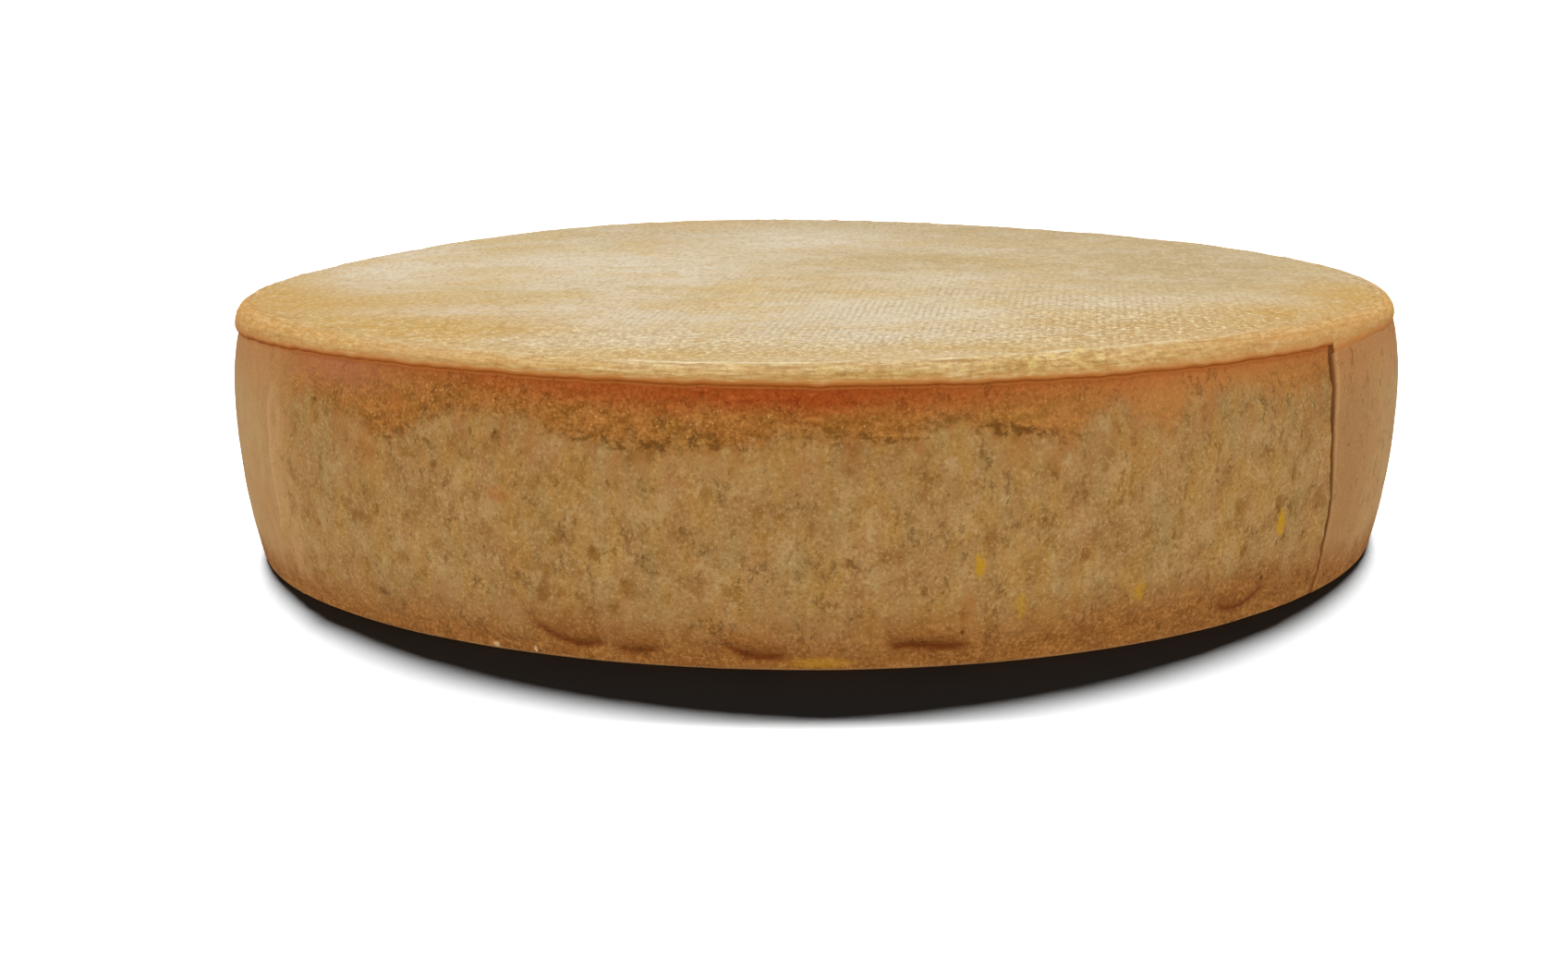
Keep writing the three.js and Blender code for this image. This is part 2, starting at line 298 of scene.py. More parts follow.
print("the blank has", len(wheel.data.vertices), "vertices and", len(wheel.data.polygons), "faces")

# %% [markdown]
# From here on the vertices are moved in code, all at once, as a sculptor's brush would move
# them one stroke at a time. First each vertex is told which row and which column it is on, by
# comparing it with the outline.

# %% Rows and columns of the vertices
BATCHES = 40   # so that the table of every vertex against every row stays small


def vertex_table(field):
    values = np.zeros(len(wheel.data.vertices) * 3)
    wheel.data.vertices.foreach_get(field, values)
    return values.reshape(-1, 3)


blank = vertex_table("co") / MM
blank_radius = np.hypot(blank[:, 0], blank[:, 1])
outline_radius = np.array([point.x for point in OUTLINE])
outline_height = np.array([point.z for point in OUTLINE])
row_of = np.concatenate([
    np.argmin(np.hypot(radius[:, None] - outline_radius, height[:, None] - outline_height), axis=1)
    for radius, height in zip(np.array_split(blank_radius, BATCHES),
                              np.array_split(blank[:, 2], BATCHES))
])
even_azimuth = np.degrees(np.arctan2(blank[:, 1], blank[:, 0]))

kinds = np.array([kind for kind, share in ROWS])[row_of]
shares = np.array([share for kind, share in ROWS])[row_of]
on_side = kinds == "side"
on_top = kinds == "top"
on_base = kinds == "base"
on_rim = (kinds == "rim") | (kinds == "lip")
print("rows found:", len(set(row_of)), "of", len(ROWS))

# %% [markdown]
# ## The seam
#
# The press hoop is a strip whose ends overlap, and the overlap leaves an upright groove about
# a millimetre wide. Columns 0.4 degrees apart are over a millimetre apart, too coarse for it.
# More columns everywhere would cost hundreds of thousands of faces; instead the columns near
# the seam are drawn together, and the rest of the wheel hardly notices.

# %% Draw the columns together at the seam
SEAM_CROWDING = 0.78
SEAM_REACH = 3.0

from_seam = turn(SEAM_AZIMUTH, even_azimuth)
pull = SEAM_CROWDING * SEAM_REACH * np.tanh(from_seam / SEAM_REACH) * (1 - np.abs(from_seam) / 180)
azimuth = SEAM_AZIMUTH + from_seam - pull
from_seam = turn(SEAM_AZIMUTH, azimuth)
seam_gap = (1 - SEAM_CROWDING) * 360 / COLUMNS * MM_PER_DEGREE
print("columns at the seam are", round(seam_gap, 2), "mm apart")

# %% [markdown]
# Now the blank is bent to its true form, row by row, with the functions above. The rim rises
# and falls and the outline loses its perfect roundness. The plain form is kept as numbers: a
# radius, a height and an azimuth for each vertex.

# %% The true form, still without relief
radius = np.zeros(len(blank))
height = np.zeros(len(blank))
for index, (kind, share) in enumerate(ROWS):
    here = row_of == index
    radius[here], height[here] = ROW_SHAPES[kind](share, azimuth[here])
print("the rim is", round(float(height[on_rim].max()), 1), "mm up at its highest")

# %% [markdown]
# ## Relief of the side
#
# The large relief is a push outwards, in millimetres, and the pushes are simply added up. A
# function can follow the seam, stay under a wavy border or keep out of a smooth stretch,
# which a texture can't.
#
# The largest is the thick rind. Where the hoop's liner held the side it stayed smooth; the
# rest grew a thick grainy rind, with an uneven border a finger's width below the lip and
# another just above the base.

# %% Thick rind
RIND_RISE = 0.6
RIND_TOP = 53.0
RIND_TOP_SWING = 1.5
RIND_FOOT = 4.5
RIND_FOOT_SWING = 1.2
RIND_BORDER_SLOPE = 2.0
RIDGE_AZIMUTH = -148.0
RIDGE_HEIGHT = 0.5
RIDGE_WIDTH = 2.2

# smooth stretches: middle, smooth within and grainy from, in degrees
BEYOND_SEAM = (SEAM_AZIMUTH + 24, 18, 46)
BEFORE_RIDGE = (RIDGE_AZIMUTH - 16, 10, 16)
GRAINY_BEFORE_SEAM = -90


def grainy_outside(stretch):
    middle, smooth_within, grainy_from = stretch
    return smooth(smooth_within, grainy_from, np.abs(turn(middle, azimuth)))


just_before_seam = (from_seam < 0) & (from_seam > GRAINY_BEFORE_SEAM)
rind_cover = np.where(just_before_seam, 1, grainy_outside(BEYOND_SEAM))
rind_cover *= grainy_outside(BEFORE_RIDGE)
rind_border = RIND_TOP + RIND_TOP_SWING * waves(RIND_TOP_WAVES, azimuth)
rind_foot = RIND_FOOT + RIND_FOOT_SWING * waves(RIND_FOOT_WAVES, azimuth)
border_top = rind_border + 0.75 * RIND_BORDER_SLOPE
below_border = 1 - smooth(rind_border - RIND_BORDER_SLOPE, border_top, height)
above_foot = smooth(rind_foot - RIND_BORDER_SLOPE, rind_foot + RIND_BORDER_SLOPE, height)
thick_rind = rind_cover * below_border * above_foot * on_side
print("thick rind covers", round(100 * float(np.mean(thick_rind[on_side]))), "% of the side")

# %% [markdown]
# Lumps a finger wide come from a few crossed waves. They are low, and strongest in the thick
# rind. The ridge is the faint mark of the other edge of the hoop's overlap.

# %% Lumps, ridge and seam
SEAM_DEPTH = 1.1
SEAM_WIDTH = 1.0
SEAM_WOBBLE = -1.0
LUMP_SIZE = 0.06
LUMP_SIZE_IN_RIND = 0.2


def lumps(azimuth, height):
    """Crossed waves 20 to 200 mm long, which seem to follow no order."""
    along = azimuth * MM_PER_DEGREE
    first = np.sin(along / 6.1 + height / 9.7) * np.cos(height / 5.3 - along / 23)
    second = np.sin(along / 3.7 - height / 6.4 + 1.3) * np.sin(height / 4.1 + along / 31)
    return (LUMP_SIZE + LUMP_SIZE_IN_RIND * rind_cover) * (first + 0.7 * second)


ridge = bump(turn(RIDGE_AZIMUTH, azimuth) * MM_PER_DEGREE, RIDGE_WIDTH / 2) * on_side
seam_line = bump(from_seam * MM_PER_DEGREE, SEAM_WIDTH / 2) * on_side
shares_down = np.where(on_side, shares, 0)
seam_relief = past_the_seam(SEAM_STEP, SEAM_STEP_FADE, azimuth) * (1 - shares_down)
seam_relief -= SEAM_DEPTH * seam_line
print("the seam is", round(-float(seam_relief[on_side].min()), 2), "mm deep")

# %% [markdown]
# ## Creases above the base
#
# The young cheese sags while it is still soft, and the thick rind bulges over the smooth band
# at the bottom. Each bulge ends in a short curved crease. The ones in front are placed one by
# one; those on the far side follow a loop, with their sizes swinging so no two are alike.

# %% Creases
FRONT_CREASES = [
    # azimuth, half length in degrees, height, depth, bend of the ends, tilt
    (-111.5, 3.8, 4.3, 0.9, 3.4, -2.0),
    (-105.4, 2.3, 3.4, 0.7, 1.6, 0.0),
    (-95.3, 2.8, 3.2, 0.9, 2.4, -1.4),
    (-81, 3.6, 5.2, 1.1, 0.4, -0.5),
    (-49.8, 3.8, 4.4, 0.8, 3.9, 1.4),
]
BACK_CREASE_COUNT = 6
BACK_CREASE_START = 14
BACK_CREASE_PITCH = 29
CREASE_HEIGHT = 1.1
BULGE_SHARE = 0.5
BULGE_ABOVE = 3.2
BULGE_HEIGHT = 2.2
SHADE_ABOVE = 1.5    # the painted shade under a crease's bulge fades slowly up and quickly down
SHADE_BELOW = 0.6
HALO_REACH = 1.3
HALO_ABOVE = 2.5
HALO_HEIGHT = 4.5


def back_crease(index):
    return (
        BACK_CREASE_START + BACK_CREASE_PITCH * index + 6 * math.sin(2.3 * index),
        3.6 + 0.9 * math.sin(1.7 * index + 1),
        5 + 0.7 * math.cos(2.9 * index),
        0.85 + 0.2 * math.sin(3.1 * index),
        2 + math.cos(1.9 * index),
        1.2 * math.sin(2.1 * index + 0.5),
    )


CREASES = FRONT_CREASES + [back_crease(index) for index in range(BACK_CREASE_COUNT)]
crease_relief = np.zeros(len(blank))
crease_shade = np.zeros(len(blank))
crease_halo = np.zeros(len(blank))
for middle, half, line, depth, bend, tilt in CREASES:
    share = turn(middle, azimuth) / half
    above = height - line - bend * share**2 - tilt * share
    reach = np.where((np.abs(share) < 1) & on_side, depth * (1 - share**4), 0)
    groove = bump(above, CREASE_HEIGHT)
    crease_relief += reach * (BULGE_SHARE * bump(above - BULGE_ABOVE, BULGE_HEIGHT) - groove)
    under_bulge = np.where(above > 0, np.exp(-np.abs(above) / SHADE_ABOVE), bump(above, SHADE_BELOW))
    crease_shade = np.maximum(crease_shade, reach * under_bulge)
    halo = depth * bump(share, HALO_REACH) * bump(above - HALO_ABOVE, HALO_HEIGHT)
    crease_halo = np.maximum(crease_halo, np.where(on_side, halo, 0))
print("deepest crease:", round(-float(crease_relief.min()), 2), "mm")

# %% [markdown]
# The pushes are summed and the wheel takes its true form. They die out at the crease under
# the lip and at the edge of the base, so both stay clean lines. The columns near the seam
# lean with it, because the real groove strays by two or three millimetres on its way down.

# %% Give the wheel its form
RELIEF_STARTS = 0.06
RELIEF_ENDS = 0.97
RELIEF_AT_BASE = 0.3
SEAM_WOBBLE_AT = 42.0
SEAM_WOBBLE_REACH = 14.0
SEAM_WOBBLE_WITHIN = 10.0

fade = 1 - (1 - RELIEF_AT_BASE) * smooth(RELIEF_ENDS, 1, shares_down)
fade *= smooth(0, RELIEF_STARTS, shares_down)
side_relief = RIND_RISE * thick_rind + lumps(azimuth, height) + RIDGE_HEIGHT * ridge
side_relief = fade * (side_relief + crease_relief) + seam_relief
radius = radius + np.where(on_side, side_relief, 0)

near_seam = np.cos(np.minimum(np.abs(from_seam) / SEAM_WOBBLE_WITHIN, 1) * math.pi / 2) ** 2
wobble = SEAM_WOBBLE * bump(height - SEAM_WOBBLE_AT, SEAM_WOBBLE_REACH)
angle = np.radians(azimuth + np.where(on_side, wobble * near_seam, 0))
formed = np.stack([radius * np.cos(angle), radius * np.sin(angle), height], axis=1)


def place(points_mm):
    wheel.data.vertices.foreach_set("co", (points_mm * MM).ravel())
    wheel.data.update()


place(formed)
print("the wheel is", np.round(np.ptp(formed, axis=0), 1), "mm")

# %% [markdown]
# ## Crags, grain and swells
#
# Finer relief is random, and a Displace modifier does it as a sculptor's textured brush
# would: a cloud texture pushes the surface in and out along its normals. One modifier is
# used for each size of grain that the eye can tell apart. A vertex group says how much of
# the push each vertex takes, so the thick rind gets rough and the smooth stretches hardly do.
# In a few places the rim is crumbly, where the folded cloth tore its skin.

# %% Vertex groups
WEIGHT_STEPS = 20
ROUGH_STARTS = 0.07          # shares of the way from the crease down to the base
ROUGH_ENDS = 0.975
SMOOTH_ROUGHNESS = 0.16
SWELL_UNDER_LIP = 0.5
CALM_AT_LIP = 0.7
CRUMBLY_RIM = [(-72, 13, 1.0), (-104, 24, 0.35), (88, 30, 0.8), (170, 16, 0.5)]


def around(places):
    """Share from 0 to 1 around a few azimuths, each with a reach in degrees and a strength."""
    total = sum(strength * bump(turn(middle, azimuth), reach) for middle, reach, strength in places)
    return np.clip(total, 0, 1)


def weigh(name, weights):
    """A vertex group from one weight for each vertex, in twentieths."""
    group = wheel.vertex_groups.new(name=name)
    steps = np.round(np.clip(weights, 0, 1) * WEIGHT_STEPS).astype(int)
    for step in range(1, WEIGHT_STEPS + 1):
        group.add(np.flatnonzero(steps == step).tolist(), step / WEIGHT_STEPS, "REPLACE")


clear_of_edges = smooth(0, ROUGH_STARTS, shares_down) * (1 - smooth(ROUGH_ENDS, 1, shares_down))
roughness = SMOOTH_ROUGHNESS + (1 - SMOOTH_ROUGHNESS) * thick_rind
roughness *= clear_of_edges * on_side * (1 - seam_line)
inner_face = (1 - shares**6) * (on_top | on_base)
weigh("rough_side", roughness)
weigh("face", np.where(on_base, 0, inner_face))
weigh("rim", np.where(kinds == "lip", SWELL_UNDER_LIP, on_rim))
calm_lip = 1 - CALM_AT_LIP * np.where(kinds == "rim", shares**3, kinds == "lip")
crumbly_rim = around(CRUMBLY_RIM) * on_rim * calm_lip
weigh("crumbly_rim", crumbly_rim)
print("vertex groups:", [group.name for group in wheel.vertex_groups])

# %% Displace modifiers
GRAINS = [
    # name, vertex group, size of the grain and height of the push in millimetres
    ("crags", "rough_side", 7.0, 1.1),
    ("grain", "rough_side", 3.0, 0.75),
    ("face_swell", "face", 16.0, 0.5),
    ("face_dimples", "face", 5.0, 0.14),
    ("rim_swell", "rim", 9.0, 0.35),
    ("rim_crumbs", "crumbly_rim", 2.8, 1.5),
]
for title, group, size, push in GRAINS:
    clouds = bpy.data.textures.new(title, "CLOUDS")
    clouds.noise_scale = size * MM
    modifier = wheel.modifiers.new(title, "DISPLACE")
    modifier.texture = clouds
    modifier.texture_coords = "LOCAL"
    modifier.strength = push * MM
    modifier.vertex_group = group
    bpy.ops.object.modifier_apply(modifier=title)
wheel.vertex_groups.clear()
displaced = vertex_table("co") / MM
moved = np.linalg.norm(displaced - formed, axis=1)
print("the grain moves the surface by up to", round(float(moved.max()), 2), "mm")

# %% [markdown]
# ## Pits and rim lines
#
# Small holes and scars are scattered over the thick rind. A seeded list of places keeps them
# the same in every run. Each is a bell-shaped dent, a little taller than it is wide, because
# the rind was brushed up and down. A few deeper ones in front are listed one by one.

# %% Pits
PIT_COUNT = 190
PIT_SEED = 11
PIT_TALL = 1.35
LOWEST_PIT = 5
HIGHEST_PIT = 55
SMALLEST_PIT = 0.6
PIT_SIZE_SPREAD = 0.8
SHALLOWEST_PIT = 0.3
PIT_DEPTH_SPREAD = 0.35
PITS_ON_SMOOTH = 0.25        # share of its depth that a pit has where the rind is smooth
NAMED_PITS = [
    # azimuth, height, radius, depth
    (-139.5, 53.5, 1.0, 0.7),
    (-117, 51.4, 1.1, 0.8),
    (-78.3, 8.5, 0.9, 0.8),
    (-47.6, 10, 0.9, 0.7),
    (-123.6, 57.7, 0.9, 0.5),
]
random.seed(PIT_SEED)
scattered = [
    (random.uniform(-180, 180), random.uniform(LOWEST_PIT, HIGHEST_PIT),
     SMALLEST_PIT + PIT_SIZE_SPREAD * random.random() ** 2,
     SHALLOWEST_PIT + PIT_DEPTH_SPREAD * random.random())
    for _ in range(PIT_COUNT)
]
side_index = np.flatnonzero(on_side)
pits = np.zeros(len(blank))
for pit_azimuth, pit_height, pit_radius, pit_depth in scattered + NAMED_PITS:
    across = turn(pit_azimuth, azimuth[side_index]) * MM_PER_DEGREE
    up = (height[side_index] - pit_height) / PIT_TALL
    pits[side_index] += pit_depth * bump(np.hypot(across, up), pit_radius)
pits *= PITS_ON_SMOOTH + (1 - PITS_ON_SMOOTH) * thick_rind
print("pits reach", round(float(pits.max()), 2), "mm deep")

# %% [markdown]
# The rim is drawn with fine lines that run round it, left by the folded edge of the cloth.
# Noise that is read from a stretched space gives them: five times stretched along the wheel,
# squeezed along the outline. Only the rim's vertices need it, so a plain loop is quick enough.
# At the end the highest grains are clipped to the solid's box, so the wheel keeps its size.

# %% Rim lines
RIM_LINE_HEIGHT = 0.22
RIM_LINE_STRETCH = 5
RIM_LINES_FROM = 0.93        # share of the way from the centre of the face to its edge
BROAD_LINES = (2.6, 1.5, 3.1)   # size along the rim, squeeze across it, place in the noise
FINE_LINES = (1.3, 0.9, 8.7)
FINE_LINE_SHARE = 0.5
along_outline = outline_length[row_of]
lip_length = float(outline_length[row_of][on_rim].max())


def rim_noise(size, squeeze, seed):
    """Noise of a size along the rim, squeezed across it, from its own part of space."""
    values = np.zeros(len(blank))
    for index in np.flatnonzero(on_rim | (on_top & (shares > RIM_LINES_FROM))):
        x, y = displaced[index, :2] / (size * RIM_LINE_STRETCH)
        values[index] = noise.noise(Vector((x, y, along_outline[index] / squeeze + seed)))
    return values


rim_lines = calm_lip * (rim_noise(*BROAD_LINES) + FINE_LINE_SHARE * rim_noise(*FINE_LINES))
print("rim lines are", round(RIM_LINE_HEIGHT * float(np.ptp(rim_lines)), 2), "mm high")

# %% Push pits and rim lines in
outwards = vertex_table("normal")
finished = displaced + outwards * (RIM_LINE_HEIGHT * rim_lines - pits)[:, None]
finished = np.clip(finished, np.array(CAD_LOW) / MM, np.array(CAD_HIGH) / MM)
finished[on_base, 2] = 0
place(finished)
print("the finished wheel is", np.round(np.ptp(finished, axis=0), 1), "mm")

# %% [markdown]
# The new skin should lie on the solid that it replaces. The shortest way from a sample of its
# vertices to the solid shows how well it does.

# %% Measure the skin against the solid
SAMPLE_EVERY = 97
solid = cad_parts["cheese_wheel"]
gaps = []
for vertex in finished[::SAMPLE_EVERY]:
    point = Vector(vertex * MM)
    nearest = solid.closest_point_on_mesh(point)[1]
    gaps.append((point - nearest).length / MM)
print("skin to solid: mean", round(float(np.mean(gaps)), 2), "mm, most", round(max(gaps), 2), "mm")

# %% [markdown]
# ## Painted masks
#
# The rind's colours follow its history, not its height alone: rust where the washed rind
# stayed wet under the lip, gold where the cloth let the fat through, white where the mould
# bloomed. Each is painted as one number for each vertex, a mask that the material reads. An
# image would need unwrapping; a mask on the vertices is sharp enough for anything wider than
# two millimetres, and noise in the material breaks up its border.

# %% Paint distances
OFF_THE_SIDE = 100.0
BORDER_SWINGS = [
    # middle azimuth, reach in degrees, rise of the rind's border in millimetres
    (-129, 4.5, -5.0), (-120, 5, 3.0), (-109, 4, 2.5), (-101, 5, -2.5), (-79.5, 4, 4.0),
    (-71, 2.5, -3.0), (-66, 3, 4.0), (-61, 2.5, -3.0), (-53, 4, 2.0), (SEAM_AZIMUTH - 12, 12, 3.0),
]
FOOT_RISE = 5.0
FOOT_RISE_AZIMUTH = -55
FOOT_RISE_REACH = 16
RIM_BLENDS_FROM = 0.965
COVER_BEFORE_RIDGE = (RIDGE_AZIMUTH - 16, 10, 30)
FLECKS_BEFORE_RIDGE = (RIDGE_AZIMUTH - 16, 14, 44)
FEWEST_FLECKS = 0.15


def paint(name, values):
    layer = wheel.data.attributes.new(name, "FLOAT", "POINT")
    layer.data.foreach_set("value", values.astype(np.float32))


below_lip = np.where(on_side, crease_height(azimuth) - height, 0)
from_lip = np.where(on_side | (kinds == "lip"), 0, lip_length - along_outline)
from_lip = np.where(on_base, OFF_THE_SIDE, from_lip)
paint("face", np.where(on_side, 0, 1))
paint("rim", np.where(on_rim, 1, smooth(RIM_BLENDS_FROM, 1, shares) * on_top))
paint("from_lip", from_lip)
paint("below_lip", below_lip)
paint("above_base", np.where(on_side, height, OFF_THE_SIDE))
border_rise = sum(rise * bump(turn(middle, azimuth), reach) for middle, reach, rise in BORDER_SWINGS)
foot_rise = FOOT_RISE * bump(turn(FOOT_RISE_AZIMUTH, azimuth), FOOT_RISE_REACH)
paint("from_border", np.where(on_side, height - rind_border - border_rise, 0))
paint("above_foot", np.where(on_side, height - rind_foot - foot_rise, OFF_THE_SIDE))
paint("rind_cover", np.minimum(rind_cover, grainy_outside(COVER_BEFORE_RIDGE)))
paint("flecked", FEWEST_FLECKS + (1 - FEWEST_FLECKS) * grainy_outside(FLECKS_BEFORE_RIDGE))
paint("along_outline", along_outline)
print("the rim is", round(float(from_lip[on_rim].max()), 1), "mm wide")

# %% [markdown]
# What the grain pushed in or out is painted as well, in millimetres. The hollows get painted
# shade and the high grains painted light, so colour and relief belong together.

# %% Paint the depth of the grain
outwards_by = np.sum((finished - formed) * outwards, axis=1)
paint("pushed_out", outwards_by)
spread = np.percentile(outwards_by[thick_rind > 0.9], (5, 50, 95))
print("pushed out on the thick rind, 5th, 50th and 95th percentile:", np.round(spread, 2), "mm")

# %% [markdown]
# Lines are painted where the relief already has them: the seam's groove and the creases get
# painted shade, the seam's far edge gets a painted highlight, and the ridge is painted paler.
# The crease under the lip gets a rusty line of painted shade, except just past the seam, where
# the side is flush with the lip.

# %% Paint lines
SEAM_SHADE_WIDTH = 0.85
SEAM_SHADE_AT = 0.15
SEAM_SHADE_SHIFT = 0.9       # down at the base the painted shade shows on the far wall of the groove
SEAM_SHADE_STRENGTH = 1.3
SEAM_HIGHLIGHT_AT = 1.9
SEAM_HIGHLIGHT_WIDTH = 1.0
RIDGE_PALE = 0.8
RIDGE_PALE_STARTS = (16, 24)  # heights between which the ridge's paler paint comes and goes
RIDGE_PALE_ENDS = (48, 56)
LIP_SHADE_WIDTH = 1.0
LIP_SHADE_FULL_AT = 0.6       # share of the way under the lip
FLUSH_TO_STANDING = (0.1, 0.7)
CREASE_SHADE_STRENGTH = 1.4
PIT_SHADE_STRENGTH = 1.3

lip_overhang = 1 - past_the_seam(1, SEAM_STEP_FADE, azimuth)
under_lip = np.where(kinds == "lip", smooth(0, LIP_SHADE_FULL_AT, shares), 0)
lip_crease_shade = np.where(on_side, bump(below_lip, LIP_SHADE_WIDTH / 2), under_lip)
past_shade = from_seam * MM_PER_DEGREE - SEAM_SHADE_SHIFT * shares_down
seam_highlight = bump(past_shade - SEAM_HIGHLIGHT_AT, SEAM_HIGHLIGHT_WIDTH / 2) * (1 - shares_down) * on_side
seam_shade = SEAM_SHADE_STRENGTH * bump(past_shade - SEAM_SHADE_AT, SEAM_SHADE_WIDTH / 2)
ridge_reach = smooth(*RIDGE_PALE_STARTS, height) * (1 - smooth(*RIDGE_PALE_ENDS, height))
paint("seam_line", np.clip(seam_shade, 0, 1) * (on_side | (kinds == "lip")))
paint("crease_shade", np.clip(CREASE_SHADE_STRENGTH * crease_shade, 0, 1))
paint("crease_halo", np.clip(crease_halo, 0, 1))
paint("crumbly_rim", crumbly_rim)
paint("pit_shade", np.clip(PIT_SHADE_STRENGTH * pits, 0, 1))
paint("lip_crease_shade", lip_crease_shade * smooth(*FLUSH_TO_STANDING, lip_overhang))
paint("seam_highlight_and_pale_ridge", np.maximum(seam_highlight, RIDGE_PALE * ridge * ridge_reach))
print("lines painted, lip line at most", round(float(lip_crease_shade.max()), 2))

# %% [markdown]
# Patches on the face are soft ovals, each with a place, two radii and a strength. Noise in
# the material breaks their borders up, so no oval shows. The rust under the lip and the
# broken crumbs on the border of the rind are stronger in some places than in others, and
# each place is an azimuth and a reach in degrees.

# %% Paint patches
OVALS = {
    # x, y, radius along x, radius along y, strength
    "bloom": [(-3, 88, 34, 36, 1.0), (-124, 26, 17, 42, 1.0), (-50, 30, 30, 26, 0.85),
              (-32, 4, 15, 16, 0.7), (38, -20, 15, 16, 1.0), (15, -80, 30, 24, 0.9),
              (74, -60, 26, 18, 0.6), (-70, 50, 20, 16, 0.4), (-76, -67, 40, 13, 0.85),
              (-46, -87, 24, 14, 0.8), (15, -113, 58, 13, 0.9), (-72, 8, 26, 14, 0.5)],
    "gold": [(-102, -78, 44, 36, 1.0), (-80, -97, 26, 17, 1.0), (-142, -22, 26, 60, 1.0),
             (-38, 134, 26, 16, 0.5), (-20, -138, 90, 14, 0.6), (76, -114, 50, 22, 0.9),
             (143, -44, 19, 50, 1.0), (112, -80, 32, 24, 0.9)],
    "olive": [(46, 114, 44, 30, 1.0), (34, 28, 30, 30, 0.9), (8, 52, 22, 18, 0.9),
              (97, 8, 38, 40, 0.85), (-14, -106, 44, 18, 0.5), (118, 78, 30, 40, 0.7),
              (62, -44, 34, 18, 0.6)],
    # dull: painted shade over the back and the right end of the face
    "dull": [(20, 128, 150, 62, 1.0), (112, 30, 50, 70, 0.8), (10, 10, 60, 40, 0.3)],
    "threads": [(32, -84, 84, 60, 1.0), (-40, 0, 90, 50, 0.2)],
    "crumbly": [(-10, -120, 90, 28, 1.0), (88, -96, 52, 46, 0.7), (-92, -84, 44, 36, 0.25),
                (60, -50, 60, 50, 0.3)],
}
PLACES = {
    # middle azimuth, reach in degrees, strength
    "rust": [(-92, 14, 1.0), (-113, 11, 0.45), (-66, 14, 0.2), (78, 60, 0.8)],
    "crumbs": [(-103, 12, 1.0), (-85, 5, 0.7), (-74, 4.5, 1.0), (-127, 6, 0.6), (30, 12, 0.7),
               (85, 20, 0.9)],
    "orange": [(-160, 24, 0.9), (-124, 12, 0.5), (-36, 26, 0.9), (60, 50, 0.7)],
    "gold_rim": [(-90, 70, 1.0), (90, 40, 0.3)],
    "pale_band": [(-55, 16, 1.0), (-156, 11, 1.0), (12, 10, 0.8)],
    "pink_band": [(-137, 8, 1.0), (100, 12, 0.8)],
    "pale_skin": [(-170, 15, 1.0), (-8, 16, 1.0)],
    "dull_skin": [(-34, 6, 1.0)],
    "face_edge": [(-88, 36, 1.0), (95, 40, 0.6)],
}


def ovals(patches):
    total = np.zeros(len(blank))
    for middle_x, middle_y, reach_x, reach_y, strength in patches:
        across = (formed[:, 0] - middle_x) / reach_x
        away = (formed[:, 1] - middle_y) / reach_y
        total += strength * bump(np.hypot(across, away), 1)
    return np.clip(total, 0, 1)


for name, patches in OVALS.items():
    paint(name, ovals(patches))
for name, places in PLACES.items():
    paint(name, around(places))
print("masks:", len([layer for layer in wheel.data.attributes if not layer.is_internal]))

# %% [markdown]
# ## The rind's material
#
# A material is a recipe that is easier to read as text than as a screen full of boxes. These
# helpers add nodes and return an output, so the recipe below reads like arithmetic.

# %% Helpers for numbers
rind = bpy.data.materials.new("washed_rind")
rind.use_nodes = True
rind.node_tree.nodes.clear()


def node(kind, inputs, output=0, **settings):
    """Adds a node, feeds it plain values or other nodes' outputs, and returns its output."""
    made = rind.node_tree.nodes.new(kind)
    for name, value in settings.items():
        setattr(made, name, value)
    for socket, value in inputs.items():
        if isinstance(value, bpy.types.NodeSocket):
            rind.node_tree.links.new(value, made.inputs[socket])
        else:
            made.inputs[socket].default_value = value
    return made.outputs[output]


def calc(operation, first, second=0.0, clamp=False):
    return node("ShaderNodeMath", {0: first, 1: second}, operation=operation, use_clamp=clamp)


def both(first, *others):
    """Shares multiplied together, kept from 0 to 1."""
    for other in others:
        first = calc("MULTIPLY", first, other, clamp=True)
    return first


def between(start, end, share):
    """A number that goes evenly from start to end as share goes from 0 to 1."""
    return calc("ADD", calc("MULTIPLY", share, end - start), start)


def ease(value, low, high, start=0.0, end=1.0):
    """Smooth step from start to end as value goes from low to high."""
    inputs = {"Value": value, "From Min": low, "From Max": high, "To Min": start, "To Max": end}
    return node("ShaderNodeMapRange", inputs, "Result", interpolation_type="SMOOTHSTEP")


def close_to(line, value, none_from, full_within):
    """1 where value is within a distance of line, easing to 0 further off."""
    return ease(calc("ABSOLUTE", calc("SUBTRACT", value, line)), none_from, full_within)


def mask(name):
    return node("ShaderNodeAttribute", {}, "Fac", attribute_name=name)


print("number helpers ready, material", rind.name)

# %% [markdown]
# Most of the recipe is layers of colour, as in glazing. A layer has a name, a share that says
# where it lies and how strongly, and a tone. Tones are given as they look on a screen.

# %% Helpers for colours
def colour(red, green, blue):
    """A colour given as it looks on a screen, 0 to 255, turned into light."""
    screen = [channel / 255 for channel in (red, green, blue)]
    light = [c / 12.92 if c <= 0.04045 else ((c + 0.055) / 1.055) ** 2.4 for c in screen]
    return (*light, 1)


def over(below, share, above):
    """Lays one colour over another; share says where, 0 none and 1 all."""
    return node("ShaderNodeMix", {"Factor": share, 6: below, 7: above}, 2, data_type="RGBA")


def layered(below, layers):
    """Lays tones over a colour in turn. A layer is a name, a share and a tone."""
    for _, share, tone in layers:
        below = over(below, share, colour(*tone))
    print("layers:", ", ".join(name for name, _, _ in layers))
    return below


print("cream in light:", [round(channel, 2) for channel in colour(215, 195, 160)])

